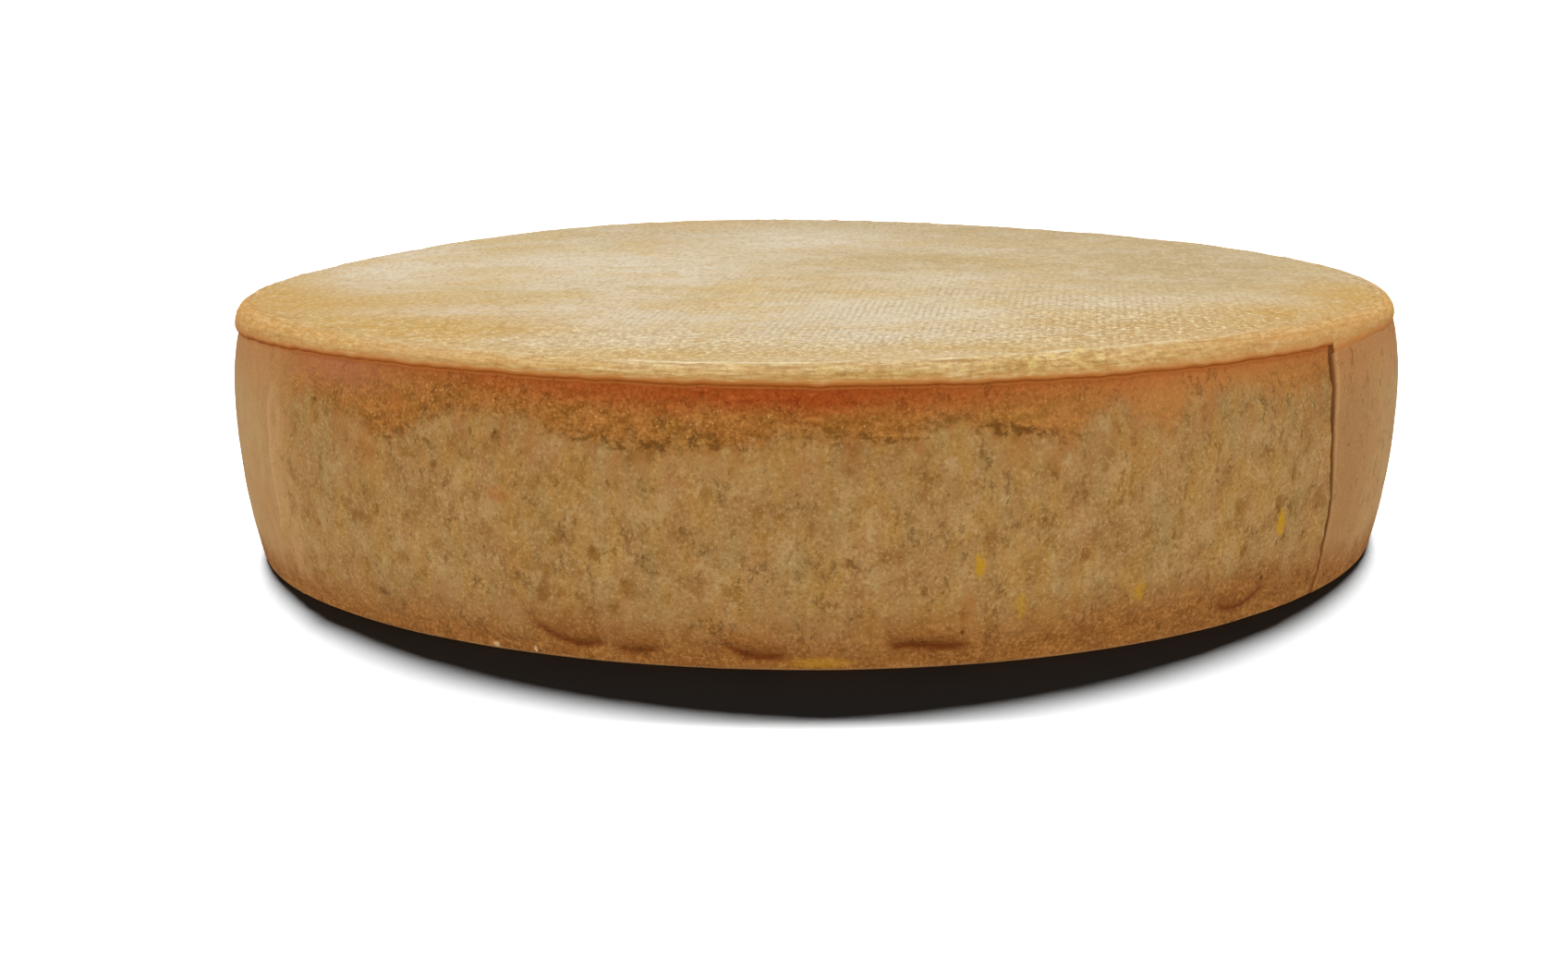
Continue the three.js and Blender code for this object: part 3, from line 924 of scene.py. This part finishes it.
# %% [markdown]
# Noise needs a space to be read from. Object coordinates are the wheel's own, so the pattern
# goes through its skin like the grain in wood and has no stretched poles. Divided by a
# stretch in millimetres they give rounder or longer grains. The rim's lines run round the
# wheel, so their third axis is the length along the outline instead of the height.

# %% Spaces and noises
place_on_wheel = node("ShaderNodeTexCoord", {}, "Object")


def stretched(x, y, z, turned=0.0):
    """Coordinates in millimetres, each axis divided by a stretch, turned about the axis."""
    scale = (1 / (MM * x), 1 / (MM * y), 1 / (MM * z))
    rotation = (0, 0, math.radians(turned))
    return node("ShaderNodeMapping", {"Vector": place_on_wheel, "Rotation": rotation, "Scale": scale})


def ringwise(stretch):
    """Coordinates for lines round the rim: drawn out along it, true across it."""
    drawn = node("ShaderNodeSeparateXYZ", {0: stretched(stretch, stretch, stretch)}).node.outputs
    across = mask("along_outline")
    return node("ShaderNodeCombineXYZ", {"X": drawn["X"], "Y": drawn["Y"], "Z": across})


def mottle(size, vector, detail=2.0, roughness=0.5):
    """Noise from 0 to 1 with features about size millimetres across."""
    inputs = {"Vector": vector, "Scale": 1 / size, "Detail": detail, "Roughness": roughness}
    return node("ShaderNodeTexNoise", inputs, "Fac")


def dots(pitch, vector):
    """Distance to the nearest of many random points, as a share of their pitch."""
    return node("ShaderNodeTexVoronoi", {"Vector": vector, "Scale": 1 / pitch}, "Distance")


def shifted(value, noise_value, reach):
    """A painted distance with noise added, so that what ends there ends raggedly."""
    return calc("ADD", value, calc("MULTIPLY", calc("SUBTRACT", noise_value, 0.5), reach))


even = stretched(1, 1, 1)
upright = stretched(1, 1, 1.3)
tall = stretched(1, 1, 2.4)
flat = stretched(2.4, 2.4, 1)
combed = stretched(1, 2.4, 1)
print("spaces: even, upright, tall, flat, combed and ringwise")

# %% [markdown]
# ## The cloth-marked face
#
# The press cloth leaves two sets of fine threads, more than a millimetre apart. One set shows
# much better than the other, and both fade in and out. A Wave texture gives even stripes; a
# little distortion keeps them from looking printed. The marks are kept as a height for the
# bump, and as painted shade darkening the hollows between the threads.

# %% Threads
WARP_PITCH = 1.67
WEFT_PITCH = 1.6 * WARP_PITCH
WEFT_SHARE = 0.5
THREAD_TURN = 6.5
STRAY_THREADS = 0.06
WAVE_UNIT = 20 / math.tau   # stripes of a Wave texture in one unit of its vector, at scale 1


def threads(turned, pitch):
    inputs = {"Vector": stretched(1, 1, 1, turned), "Scale": 1 / (pitch * WAVE_UNIT),
              "Distortion": 1.6, "Detail": 2.0, "Detail Scale": 0.35}
    return node("ShaderNodeTexWave", inputs, "Fac", wave_type="BANDS", bands_direction="X")


warp = threads(THREAD_TURN, WARP_PITCH)
weft = threads(THREAD_TURN + 90, WEFT_PITCH)
cloth = calc("ADD", warp, calc("MULTIPLY", weft, WEFT_SHARE))
worn_cloth = ease(mottle(16, even, 3), 0.36, 0.6, 0.25, 1.0)
cloth_share = both(calc("ADD", mask("threads"), STRAY_THREADS), worn_cloth)
print("threads every", WARP_PITCH, "mm one way and", round(WEFT_PITCH, 2), "mm the other")

# %% [markdown]
# The face is a dry cream rind. Mould bloomed white on it in patches, fat came through golden
# near the rim, and where it stayed damp it went olive. Over all that lies a sand of light and
# dark grains about a millimetre across, combed along the threads of the cloth. Towards the
# front edge the grains are coarser crumbs.

# %% Face: patches
patchy = mottle(8, even, 5, 0.68)
haze = mottle(24, stretched(1.5, 1, 1), 6, 0.66)
ragged_patch = ease(patchy, 0.38, 0.58, 0.25, 1.0)

face = layered(colour(206, 184, 142), [
    ("pale haze", ease(haze, 0.5, 0.58, 0, 0.8), (214, 196, 166)),
    ("tan haze", ease(haze, 0.49, 0.41, 0, 0.65), (206, 172, 110)),
    ("straw", ease(patchy, 0.52, 0.66, 0, 0.5), (188, 168, 120)),
    # painted shade: the dull patches darken the back and the right end of the face
    ("dull", both(mask("dull"), between(0.4, 0.8, ragged_patch)), (179, 159, 125)),
    ("olive", both(mask("olive"), ragged_patch, 0.8), (182, 156, 104)),
    ("gold", both(mask("gold"), between(0.6, 1.0, ragged_patch)), (196, 151, 65)),
    ("white bloom", both(mask("bloom"), ragged_patch, 0.9), (218, 204, 180)),
])

# %% Face: sand, crumbs and threads
sand = mottle(1.2, combed, 2, 0.65)
coarse_sand = mottle(3.4, even, 4, 0.7)
crumb = mottle(1.2, stretched(1.2, 1.6, 1), 3, 0.7)
crumb_patch = both(mask("crumbly"), ease(coarse_sand, 0.36, 0.56, 0.3, 1.0))

face = layered(face, [
    ("coarse sand", ease(coarse_sand, 0.52, 0.68, 0, 0.4), (176, 144, 90)),
    ("dark sand", ease(sand, 0.53, 0.68, 0, 0.45), (168, 134, 82)),
    ("light sand", ease(sand, 0.47, 0.32, 0, 0.4), (230, 212, 168)),
    ("gaps between crumbs", both(crumb_patch, ease(crumb, 0.5, 0.6), 0.6), (168, 130, 72)),
    ("crumbs", both(crumb_patch, ease(crumb, 0.48, 0.38), 0.85), (244, 228, 184)),
    # painted shade in the hollows between the threads
    ("hollows of the cloth", both(ease(cloth, 0.75, 0.15), cloth_share, 0.4), (152, 122, 76)),
])

# %% [markdown]
# ## The rim
#
# The face rolls over into the rim without a border, so the rim is the face's colour with more
# laid over it: gold that deepens towards the lip, and lines that run round the wheel, cream
# with painted sheen on the raised lines and brown with painted shade between them. A painted
# highlight and painted shade lie side by side on the rounded shoulder where the face turns
# into the rim. Torn crumbs get painted highlights and their hollows painted shade. At the lip
# the rim turns orange.

# %% Rim: masks
LINE_STRETCH = 6.0
SHOULDER_HIGHLIGHT_AT = 9.6   # millimetres from the lip
SHOULDER_SHADE_AT = 7.6

rim_line = mottle(0.9, ringwise(LINE_STRETCH), 4, 0.7)
rim_patch = mottle(6, even, 4, 0.65)
lump = mottle(1.4, stretched(1.8, 1.8, 1), 3, 0.7)
ragged_from_lip = shifted(mask("from_lip"), rim_patch, 5.0)
edge_place = shifted(mask("from_lip"), rim_patch, 1.6)
edge_streak = both(mask("face_edge"), ease(mottle(2.2, ringwise(LINE_STRETCH), 3, 0.7), 0.42, 0.56))
shoulder_highlight = both(edge_streak, close_to(SHOULDER_HIGHLIGHT_AT, edge_place, 1.5, 0.4))
shoulder_shade = both(edge_streak, close_to(SHOULDER_SHADE_AT, edge_place, 1.2, 0.2))
orange_patch = ease(rim_patch, 0.3, 0.6, 0.4, 0.8)
orange_share = both(mask("orange"), ease(ragged_from_lip, 16.0, 4.0), orange_patch)
orange_lip = ease(shifted(mask("from_lip"), rim_patch, 3.0), 4.0, 0.4, 0, 0.85)
print("rim lines are drawn out", LINE_STRETCH, "times round the wheel")

# %% Rim: colours
top = layered(face, [
    ("gold", both(ease(ragged_from_lip, 13.0, 3.0, 0, 0.8), mask("gold_rim")), (198, 152, 82)),
    # cream lines are partly painted sheen on the raised lines; brown lines are partly painted shade
    # between them
    ("cream lines with painted sheen", both(mask("rim"), ease(rim_line, 0.5, 0.62), between(0.3, 0.9, rim_patch)),
     (230, 208, 154)),
    ("brown lines with painted shade", both(mask("rim"), ease(rim_line, 0.48, 0.36), 0.6), (164, 120, 60)),
    ("sand", both(mask("rim"), ease(sand, 0.54, 0.68), 0.35), (158, 118, 66)),
    # painted highlight on the rim's shoulder, then painted shade just below it
    ("painted highlight on the shoulder", both(shoulder_highlight, 0.8), (242, 228, 186)),
    ("painted shade below the shoulder", both(shoulder_shade, 0.6), (168, 126, 68)),
    ("orange", orange_share, (194, 140, 78)),
    # painted highlights on the pale torn crumbs, painted shade in their hollows
    ("torn crumbs with painted highlights", both(mask("crumbly_rim"), ease(lump, 0.5, 0.62), 0.55), (230, 206, 130)),
    ("painted shade in torn hollows", both(mask("crumbly_rim"), ease(lump, 0.48, 0.36), 0.55), (160, 122, 50)),
    ("lip", orange_lip, (182, 116, 54)),
])

# %% [markdown]
# ## The side
#
# The thick rind comes first: tan, with ochre, brown and greenish patches that are taller than
# they are wide, because the wheel was brushed and drained standing on edge. Its hollows get
# painted shade and its bumps painted light, and towards the foot it is browner.

# %% Thick rind
hue = mottle(6, tall, 3, 0.6)
other_hue = mottle(8, stretched(1.1, 0.9, 2.4, 40), 3, 0.6)
blotch = mottle(5, upright, 5, 0.68)
grit = mottle(0.85, even, 2, 0.65)
cluster = mottle(7, upright, 4, 0.7)
fleck_noise = mottle(1.8, stretched(1, 1, 1.6), 4, 0.75)
flecks = both(ease(fleck_noise, 0.53, 0.66), ease(cluster, 0.44, 0.64), mask("flecked"))
low_brown = shifted(mask("above_base"), cluster, 16.0)

side = layered(colour(157, 118, 67), [
    ("ochre", ease(hue, 0.47, 0.6, 0, 0.5), (166, 122, 54)),
    ("brown", ease(other_hue, 0.52, 0.66, 0, 0.4), (160, 110, 62)),
    ("greenish", ease(other_hue, 0.47, 0.33, 0, 0.5), (152, 124, 74)),
    ("dark blotches", ease(blotch, 0.52, 0.66, 0, 0.5), (130, 88, 36)),
    ("pale blotches", ease(blotch, 0.46, 0.34, 0, 0.6), (174, 140, 90)),
    # painted shade in the hollows and painted light on the bumps of the grain
    ("hollows", ease(mask("pushed_out"), -0.08, -0.4, 0, 0.55), (126, 80, 16)),
    ("bumps", ease(mask("pushed_out"), 0.08, 0.4, 0, 0.4), (178, 144, 94)),
    ("dark grit", ease(grit, 0.54, 0.68, 0, 0.4), (116, 76, 24)),
    ("pale grit", ease(grit, 0.46, 0.32, 0, 0.4), (194, 160, 108)),
    ("flecks", both(flecks, 0.42), (122, 75, 10)),
    ("brown towards the foot", ease(low_brown, 18.0, 8.0, 0, 0.28), (138, 86, 42)),
])

# %% [markdown]
# The smooth stretches beside the overlap never grew the grainy rind. They are an even tan,
# warmer near the lip, and paler and duller in places.

# %% Smooth stretches
smooth_skin = layered(colour(170, 126, 76), [
    ("dark blotches", ease(blotch, 0.5, 0.6, 0, 0.4), (158, 114, 64)),
    ("pale blotches", ease(blotch, 0.48, 0.38, 0, 0.35), (182, 144, 94)),
    ("haze", ease(haze, 0.45, 0.6, 0, 0.35), (176, 142, 88)),
    ("pale", both(mask("pale_skin"), 0.55), (190, 158, 116)),
    ("dull", both(mask("dull_skin"), 0.75), (154, 110, 64)),
    ("warm under the lip", ease(mask("below_lip"), 16, 2, 0, 0.6), (176, 118, 66)),
    ("dark grit", ease(grit, 0.54, 0.7, 0, 0.2), (136, 96, 50)),
    ("pale grit", ease(grit, 0.46, 0.32, 0, 0.2), (198, 160, 108)),
])
cover_noise = mottle(5, upright, 4, 0.65)
ragged_cover = ease(shifted(mask("rind_cover"), cover_noise, 1.2), 0.2, 0.7)
side = over(smooth_skin, ragged_cover, side)

# %% [markdown]
# Above the thick rind lies a sunken band that stayed wet: brown-orange and grainy, with pale
# specks, and rust red just under the lip, with painted shade right under the lip's overhang.
# It ends raggedly on the border of the rind, with dark broken crumbs along it that are partly
# painted shade of the border's ledge, and wet brown fingers run down from it. At the foot
# there is another such band, a darker brown.

# %% Band under the lip
border_noise = mottle(9, upright, 6, 0.66)
finger_noise = mottle(4.5, tall, 2, 0.55)
from_border = shifted(shifted(mask("from_border"), border_noise, 14.0), finger_noise, 3.0)
ragged_below = shifted(mask("below_lip"), border_noise, 8.0)
on_rough = ease(mask("rind_cover"), 0.1, 0.9)
band_streak = mottle(1.7, flat, 4, 0.72)
pale_dots = both(ease(dots(1.2, even), 0.3, 0.12), ease(cluster, 0.42, 0.58))

band = layered(colour(158, 100, 42), [
    ("brown", ease(blotch, 0.42, 0.6), (148, 92, 34)),
    ("damp streaks", ease(mottle(5, flat, 4, 0.7), 0.5, 0.62, 0, 0.55), (126, 83, 18)),
    ("dark streaks", ease(band_streak, 0.52, 0.64, 0, 0.6), (114, 64, 4)),
    ("pale streaks", ease(band_streak, 0.48, 0.36, 0, 0.6), (184, 122, 54)),
    ("dark grit", ease(grit, 0.52, 0.64, 0, 0.42), (110, 62, 4)),
    ("pale grit", ease(grit, 0.47, 0.36, 0, 0.35), (196, 138, 70)),
    ("specks", both(pale_dots, 0.6), (210, 158, 92)),
    ("dried stretches", both(mask("pale_band"), 0.7), (180, 122, 62)),
])
fingers = both(ease(from_border, -14.0, 0.0), ease(finger_noise, 0.44, 0.6), on_rough, 0.65)
side = over(side, fingers, colour(156, 102, 50))
side = over(side, both(ease(from_border, -3.5, 2.5), on_rough, 0.95), band)

# %% Rust and crumbs
rust_reach = shifted(mask("below_lip"), border_noise, 5.0)
rust_share = both(ease(rust_reach, 8.0, 2.0), mask("rust"), ease(band_streak, 0.32, 0.6, 1.0, 0.7))
crumb_noise = mottle(1.8, stretched(1.6, 1.6, 1), 4, 0.7)
crumb_line = both(close_to(0.0, from_border, 2.6, 0.6), ease(crumb_noise, 0.47, 0.58))
crumb_share = both(crumb_line, calc("ADD", mask("crumbs"), 0.1), mask("rind_cover"))

side = layered(side, [
    ("orange under the lip", both(ease(ragged_below, 5.0, 0.0), on_rough, 0.4), (172, 92, 36)),
    ("rust", rust_share, (150, 56, 4)),
    ("pale streaks", both(rust_share, ease(band_streak, 0.48, 0.36), 0.6), (186, 104, 48)),
    ("dark grit", both(rust_share, ease(grit, 0.52, 0.64), 0.5), (116, 36, 0)),
    ("pink", both(mask("pink_band"), ease(ragged_below, 10.0, 2.0), 0.65), (168, 104, 66)),
    # painted shade just under the lip's overhang
    ("painted shade under the overhang", both(ease(mask("below_lip"), 1.6, 0.2), on_rough, 0.4), (120, 54, 14)),
    # dark broken crumbs, partly painted shade along the ledge of the rind's border
    ("broken crumbs with painted shade", both(crumb_share, 0.8), (96, 58, 6)),
])

# %% Foot
foot_ragged = shifted(mask("above_foot"), border_noise, 10.0)
base_ragged = shifted(mask("above_base"), border_noise, 1.6)
foot = layered(colour(142, 88, 34), [
    ("brown", ease(blotch, 0.46, 0.62), (130, 78, 28)),
    ("dark streaks", ease(band_streak, 0.52, 0.64, 0, 0.5), (112, 62, 18)),
    ("pale streaks", ease(band_streak, 0.47, 0.35, 0, 0.4), (180, 124, 62)),
    ("dark grit", ease(grit, 0.52, 0.65, 0, 0.5), (106, 60, 18)),
    ("pale grit", ease(grit, 0.47, 0.35, 0, 0.35), (192, 138, 76)),
])
# darker brown patches around the creases, partly painted shade of the creases
side = over(side, both(mask("crease_halo"), ease(border_noise, 0.3, 0.55, 0.4, 0.75)), foot)
side = over(side, ease(foot_ragged, 8.5, -2.5, 0, 0.9), foot)
side = over(side, ease(base_ragged, 1.2, 0.4, 0, 0.4), colour(190, 140, 86))

# %% [markdown]
# ## Spots and smears
#
# Some marks are smaller than the mesh can carry: yellow mustard-coloured spots, a rust smear,
# painted shade at the bottom of a pit. Each is a place on the side, given by azimuth and height,
# with a half width and a half height. The material measures how far each point is from that place.

# %% Spots
MUSTARD = (180, 132, 14)
RUST = (160, 92, 34)
# DARK is painted shade at the bottom of the pits, and one dark spot above the foot
DARK = (78, 46, 16)
PALE = (206, 166, 118)
SPOTS = [
    # azimuth, height, half width, half height, colour, strength
    (-76.9, 23.5, 1.3, 2.9, MUSTARD, 0.85),
    (-45.7, 23.0, 1.7, 3.0, MUSTARD, 0.85),
    (-73.2, 13.6, 1.5, 2.6, MUSTARD, 0.4),
    (-62.4, 14.0, 1.9, 2.2, MUSTARD, 0.5),
    (-90.0, 2.2, 7.0, 1.3, MUSTARD, 0.35),
    (64.0, 19.0, 1.4, 2.8, MUSTARD, 0.8),
    (131.0, 27.0, 1.3, 2.6, MUSTARD, 0.8),
    (-132.0, 46.0, 4.5, 6.0, RUST, 0.3),
    (-128.0, 56.0, 3.0, 2.6, RUST, 0.5),
    (-117.0, 38.3, 2.6, 2.2, RUST, 0.5),
    (-77.8, 14.0, 2.0, 6.0, RUST, 0.35),
    (102.0, 40.0, 1.7, 5.0, RUST, 0.6),
    (22.0, 36.0, 1.5, 4.0, RUST, 0.6),
    (-131.5, 9.2, 2.4, 1.0, DARK, 0.5),
    (-78.3, 8.6, 0.45, 0.55, DARK, 0.95),
    (-47.6, 10.2, 0.4, 0.6, DARK, 0.9),
    (-139.5, 53.5, 0.45, 0.5, DARK, 0.8),
    (-117.0, 51.4, 0.5, 0.5, DARK, 0.8),
    (-37.9, 17.0, 0.4, 0.7, PALE, 0.9),
    (-115.0, 1.6, 0.4, 1.6, PALE, 0.9),
    (-119.0, 1.6, 0.8, 0.7, PALE, 0.8),
]
spot_noise = mottle(1.8, even, 3, 0.6)
for spot_azimuth, spot_height, half_width, half_height, tone, strength in SPOTS:
    across = turn(spot_azimuth, azimuth[side_index]) * MM_PER_DEGREE
    nearest_vertex = side_index[np.argmin(np.hypot(across, height[side_index] - spot_height))]
    tallness = half_height / half_width
    middle = tuple(finished[nearest_vertex] / (1, 1, tallness))
    away = node("ShaderNodeVectorMath", {0: stretched(1, 1, tallness), 1: middle}, "Value",
                operation="DISTANCE")
    reach = shifted(calc("DIVIDE", away, half_width), spot_noise, 1.6)
    side = over(side, ease(reach, 1.4, 0.5, 0, strength), colour(*tone))
print(len(SPOTS), "spots")

# %% Painted shade in pits, creases, the seam and the crease under the lip, and a painted highlight beside the seam
side = layered(side, [
    # painted highlight on the seam's raised far edge; the ridge is painted paler
    ("painted highlight beside the seam and pale ridge", both(mask("seam_highlight_and_pale_ridge"), 0.4), (204, 158, 112)),
    # painted shade in the pits
    ("pits", both(mask("pit_shade"), ease(grit, 0.35, 0.55, 0.25, 0.5)), (104, 66, 16)),
    # painted shade: the creases are darkened under their bulges
    ("creases", both(mask("crease_shade"), 0.95), (100, 44, 4)),
])
skin = layered(over(side, mask("face"), top), [
    # painted shade: a rusty dark line in the crease under the lip's overhang
    ("painted shade in the crease under the lip", both(mask("lip_crease_shade"), 0.92), (156, 78, 18)),
    # painted shade: the seam's groove is darkened
    ("seam", both(mask("seam_line"), 0.9), (98, 54, 14)),
])

# %% [markdown]
# ## Bump, gloss and the finished material
#
# Bump is measured in millimetres: the height is in millimetres and the distance is one
# millimetre, so a thread 0.1 mm high is 0.1. Only grain finer than the mesh is left to it.
# The rind is satin. The face is a little glossier than the side, and some of its grains are
# glossier than others, where fat has sweated out.

# %% Bump
SAND_HEIGHT = 0.14
CRUMB_HEIGHT = -0.3
THREAD_HEIGHT = 0.12
LINE_HEIGHT = 0.4
GRIT_HEIGHT = 0.4
FLECK_DEPTH = 0.8        # as a share of the height of the grit
GRIT_ON_SMOOTH = 0.3

top_height = calc("MULTIPLY", sand, SAND_HEIGHT)
for grain, grain_height in (
    (both(crumb, crumb_patch), CRUMB_HEIGHT),
    (both(cloth, cloth_share), THREAD_HEIGHT),
    (both(rim_line, mask("rim")), LINE_HEIGHT),
):
    top_height = calc("ADD", top_height, calc("MULTIPLY", grain, grain_height))
side_height = calc("MULTIPLY", grit, between(GRIT_ON_SMOOTH, 1.0, mask("rind_cover")))
side_height = calc("SUBTRACT", side_height, calc("MULTIPLY", flecks, FLECK_DEPTH))
side_height = calc("MULTIPLY", side_height, GRIT_HEIGHT)
top_relief = calc("MULTIPLY", top_height, mask("face"))
side_relief_share = calc("SUBTRACT", 1.0, mask("face"), clamp=True)
relief = calc("ADD", top_relief, calc("MULTIPLY", side_height, side_relief_share))
bumped = node("ShaderNodeBump", {"Height": relief, "Distance": 1 * MM, "Strength": 1.0})
print("bump of the face in mm:", SAND_HEIGHT, "for sand,", THREAD_HEIGHT, "for threads")

# %% Finish the material
SIDE_ROUGHNESS = 0.78
FACE_ROUGHNESS = 0.64
SWEATED_FAT_GLOSS = 0.08
FAT_IOR = 1.45
SPECULAR_LEVEL = 0.12

roughness_below = between(SIDE_ROUGHNESS, FACE_ROUGHNESS, mask("face"))
sweated_fat = calc("MULTIPLY", ease(sand, 0.5, 0.7), SWEATED_FAT_GLOSS)
shader = node("ShaderNodeBsdfPrincipled", {
    "Base Color": skin,
    "Roughness": calc("SUBTRACT", roughness_below, sweated_fat),
    "Normal": bumped,
    "IOR": FAT_IOR,
    "Specular IOR Level": SPECULAR_LEVEL,
})
output = rind.node_tree.nodes.new("ShaderNodeOutputMaterial")
rind.node_tree.links.new(shader, output.inputs["Surface"])
wheel.data.materials.clear()
wheel.data.materials.append(rind)
print("material has", len(rind.node_tree.nodes), "nodes")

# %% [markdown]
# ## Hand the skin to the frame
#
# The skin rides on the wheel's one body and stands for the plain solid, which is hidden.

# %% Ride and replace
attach(wheel, "root")
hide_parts("cheese_wheel")

# %% [markdown]
# ## Studio
#
# In a product studio the white floor has lamps of its own, so that it comes out white whatever
# the object needs. Here two soft suns behind the wheel, a little to the left and right, light
# the floor alone. Either is strong enough for white, so a shadow is left only where both are
# blocked: a crescent in front of the wheel. The floor's paint is dark, which keeps the shadow
# dark, and the floor is hidden from the wheel's light rays, as it would flood it from below.

# %% Floor
FLOOR_SIZE = 60.0
FLOOR_GREY = 0.06
FLOOR_ROUGHNESS = 0.9
bpy.ops.mesh.primitive_plane_add(size=FLOOR_SIZE, location=(0, 0, 0))
floor = bpy.context.object
floor.name = "studio_floor"
floor_paint = bpy.data.materials.new("pale_floor")
floor_paint.use_nodes = True
floor_shader = floor_paint.node_tree.nodes["Principled BSDF"]
floor_shader.inputs["Base Color"].default_value = (FLOOR_GREY, FLOOR_GREY, FLOOR_GREY, 1)
floor_shader.inputs["Roughness"].default_value = FLOOR_ROUGHNESS
floor_shader.inputs["Specular IOR Level"].default_value = 0.0
floor.data.materials.append(floor_paint)
floor.visible_diffuse = False
floor.visible_glossy = False
print("floor is", FLOOR_SIZE, "m across")


# %% Lamps for the floor
FLOOR_LAMP_AZIMUTH = 30
FLOOR_LAMP_ELEVATION = 55.5
FLOOR_LAMP_STRENGTH = 70
FLOOR_LAMP_SOFTNESS = 12


def lights_only(lamp, lit):
    """Light linking: the lamp falls on one object alone."""
    group = bpy.data.collections.new("lit_by_" + lamp.name)
    group.objects.link(lit)
    lamp.light_linking.receiver_collection = group


def add_sun(name, strength, softness, elevation, azimuth, lit):
    """A sun behind the wheel; its softness, elevation and azimuth are in degrees."""
    bpy.ops.object.light_add(type="SUN")
    lamp = bpy.context.object
    lamp.name = name
    lamp.data.energy = strength
    lamp.data.angle = math.radians(softness)
    lamp.rotation_euler = (math.radians(elevation - 90), 0, math.radians(azimuth))
    lights_only(lamp, lit)


for side_name, lamp_azimuth in {"left": FLOOR_LAMP_AZIMUTH, "right": -FLOOR_LAMP_AZIMUTH}.items():
    add_sun("floor_lamp_" + side_name, FLOOR_LAMP_STRENGTH, FLOOR_LAMP_SOFTNESS,
            FLOOR_LAMP_ELEVATION, lamp_azimuth, floor)
print("floor lamps", FLOOR_LAMP_AZIMUTH, "degrees to each side")

# %% [markdown]
# The wheel gets a broad key light from high behind, which lets the sand on its face show, and
# three long low strips of light, in front and at both sides. They stand close to the floor
# and together light the upright side evenly, from end to end and from lip to base.

# %% Lamps for the wheel
KEY_ELEVATION = 59
KEY_STRENGTH = 3.25
KEY_SOFTNESS = 8
STRIPS = {"strip_left": (-160, 42.0), "strip_front": (-90, 35.0), "strip_right": (-20, 42.0)}
STRIP_DISTANCE = 2.5
STRIP_UP = 0.1
STRIP_LENGTH = 3.0
STRIP_HEIGHT = 0.14

add_sun("key_light", KEY_STRENGTH, KEY_SOFTNESS, KEY_ELEVATION, 0, wheel)
for name, (around_wheel, power) in STRIPS.items():
    direction = math.radians(around_wheel)
    out = STRIP_DISTANCE * Vector((math.cos(direction), math.sin(direction)))
    bpy.ops.object.light_add(type="AREA", location=(*out, STRIP_UP))
    strip = bpy.context.object
    strip.name = name
    strip.data.shape = "RECTANGLE"
    strip.data.size = STRIP_LENGTH
    strip.data.size_y = STRIP_HEIGHT
    strip.data.energy = power
    strip.rotation_euler = (math.radians(90), 0, direction + math.radians(90))
    strip.visible_camera = False
    lights_only(strip, wheel)
print("wheel lamps:", ["key_light", *STRIPS])

# %% [markdown]
# The air of the studio gives a little light from everywhere. What the camera sees of it is
# plain white, like the floor, so that there is no horizon in a low view.

# %% Air
AIR_STRENGTH = 0.2
world = bpy.data.worlds.new("studio_air")
bpy.context.scene.world = world
world.use_nodes = True
air = world.node_tree.nodes["Background"]
air.inputs["Color"].default_value = (1, 1, 1, 1)
seen = world.node_tree.nodes.new("ShaderNodeLightPath").outputs["Is Camera Ray"]
strength = world.node_tree.nodes.new("ShaderNodeMapRange")
strength.inputs["To Min"].default_value = AIR_STRENGTH
world.node_tree.links.new(seen, strength.inputs["Value"])
world.node_tree.links.new(strength.outputs["Result"], air.inputs["Strength"])
bpy.context.scene.view_settings.view_transform = "Standard"
print("air gives", AIR_STRENGTH)

# %% [markdown]
# ## Camera
#
# The viewer looks slightly down on the wheel from about 0.67 m. The frame is 1697 by 1038
# pixels, and the focal length is given in those pixels. The lens in millimetres is the same
# share of the sensor's width as the focal length is of the frame's.

# %% Camera
FRAME_WIDTH = 1697
FOCAL_PIXELS = 2600
SENSOR_WIDTH = 36.0
CAMERA_PLACE = Vector((0, -657.3, 149.7)) * MM
CAMERA_YAW = 0.0139
CAMERA_PITCH = 0.2075
CAMERA_ROLL = -0.0137
NEAREST_SEEN = 0.01
bpy.ops.object.camera_add()
camera = bpy.context.object
camera.name = "camera"
camera.data.sensor_width = SENSOR_WIDTH
camera.data.lens = SENSOR_WIDTH * FOCAL_PIXELS / FRAME_WIDTH
camera.data.clip_start = NEAREST_SEEN
camera.matrix_world = (
    Matrix.Translation(CAMERA_PLACE)
    @ Matrix.Rotation(CAMERA_YAW, 4, "Z")
    @ Matrix.Rotation(math.pi / 2 - CAMERA_PITCH, 4, "X")
    @ Matrix.Rotation(CAMERA_ROLL, 4, "Z")
)
bpy.context.scene.camera = camera
print("lens", round(camera.data.lens, 1), "mm")
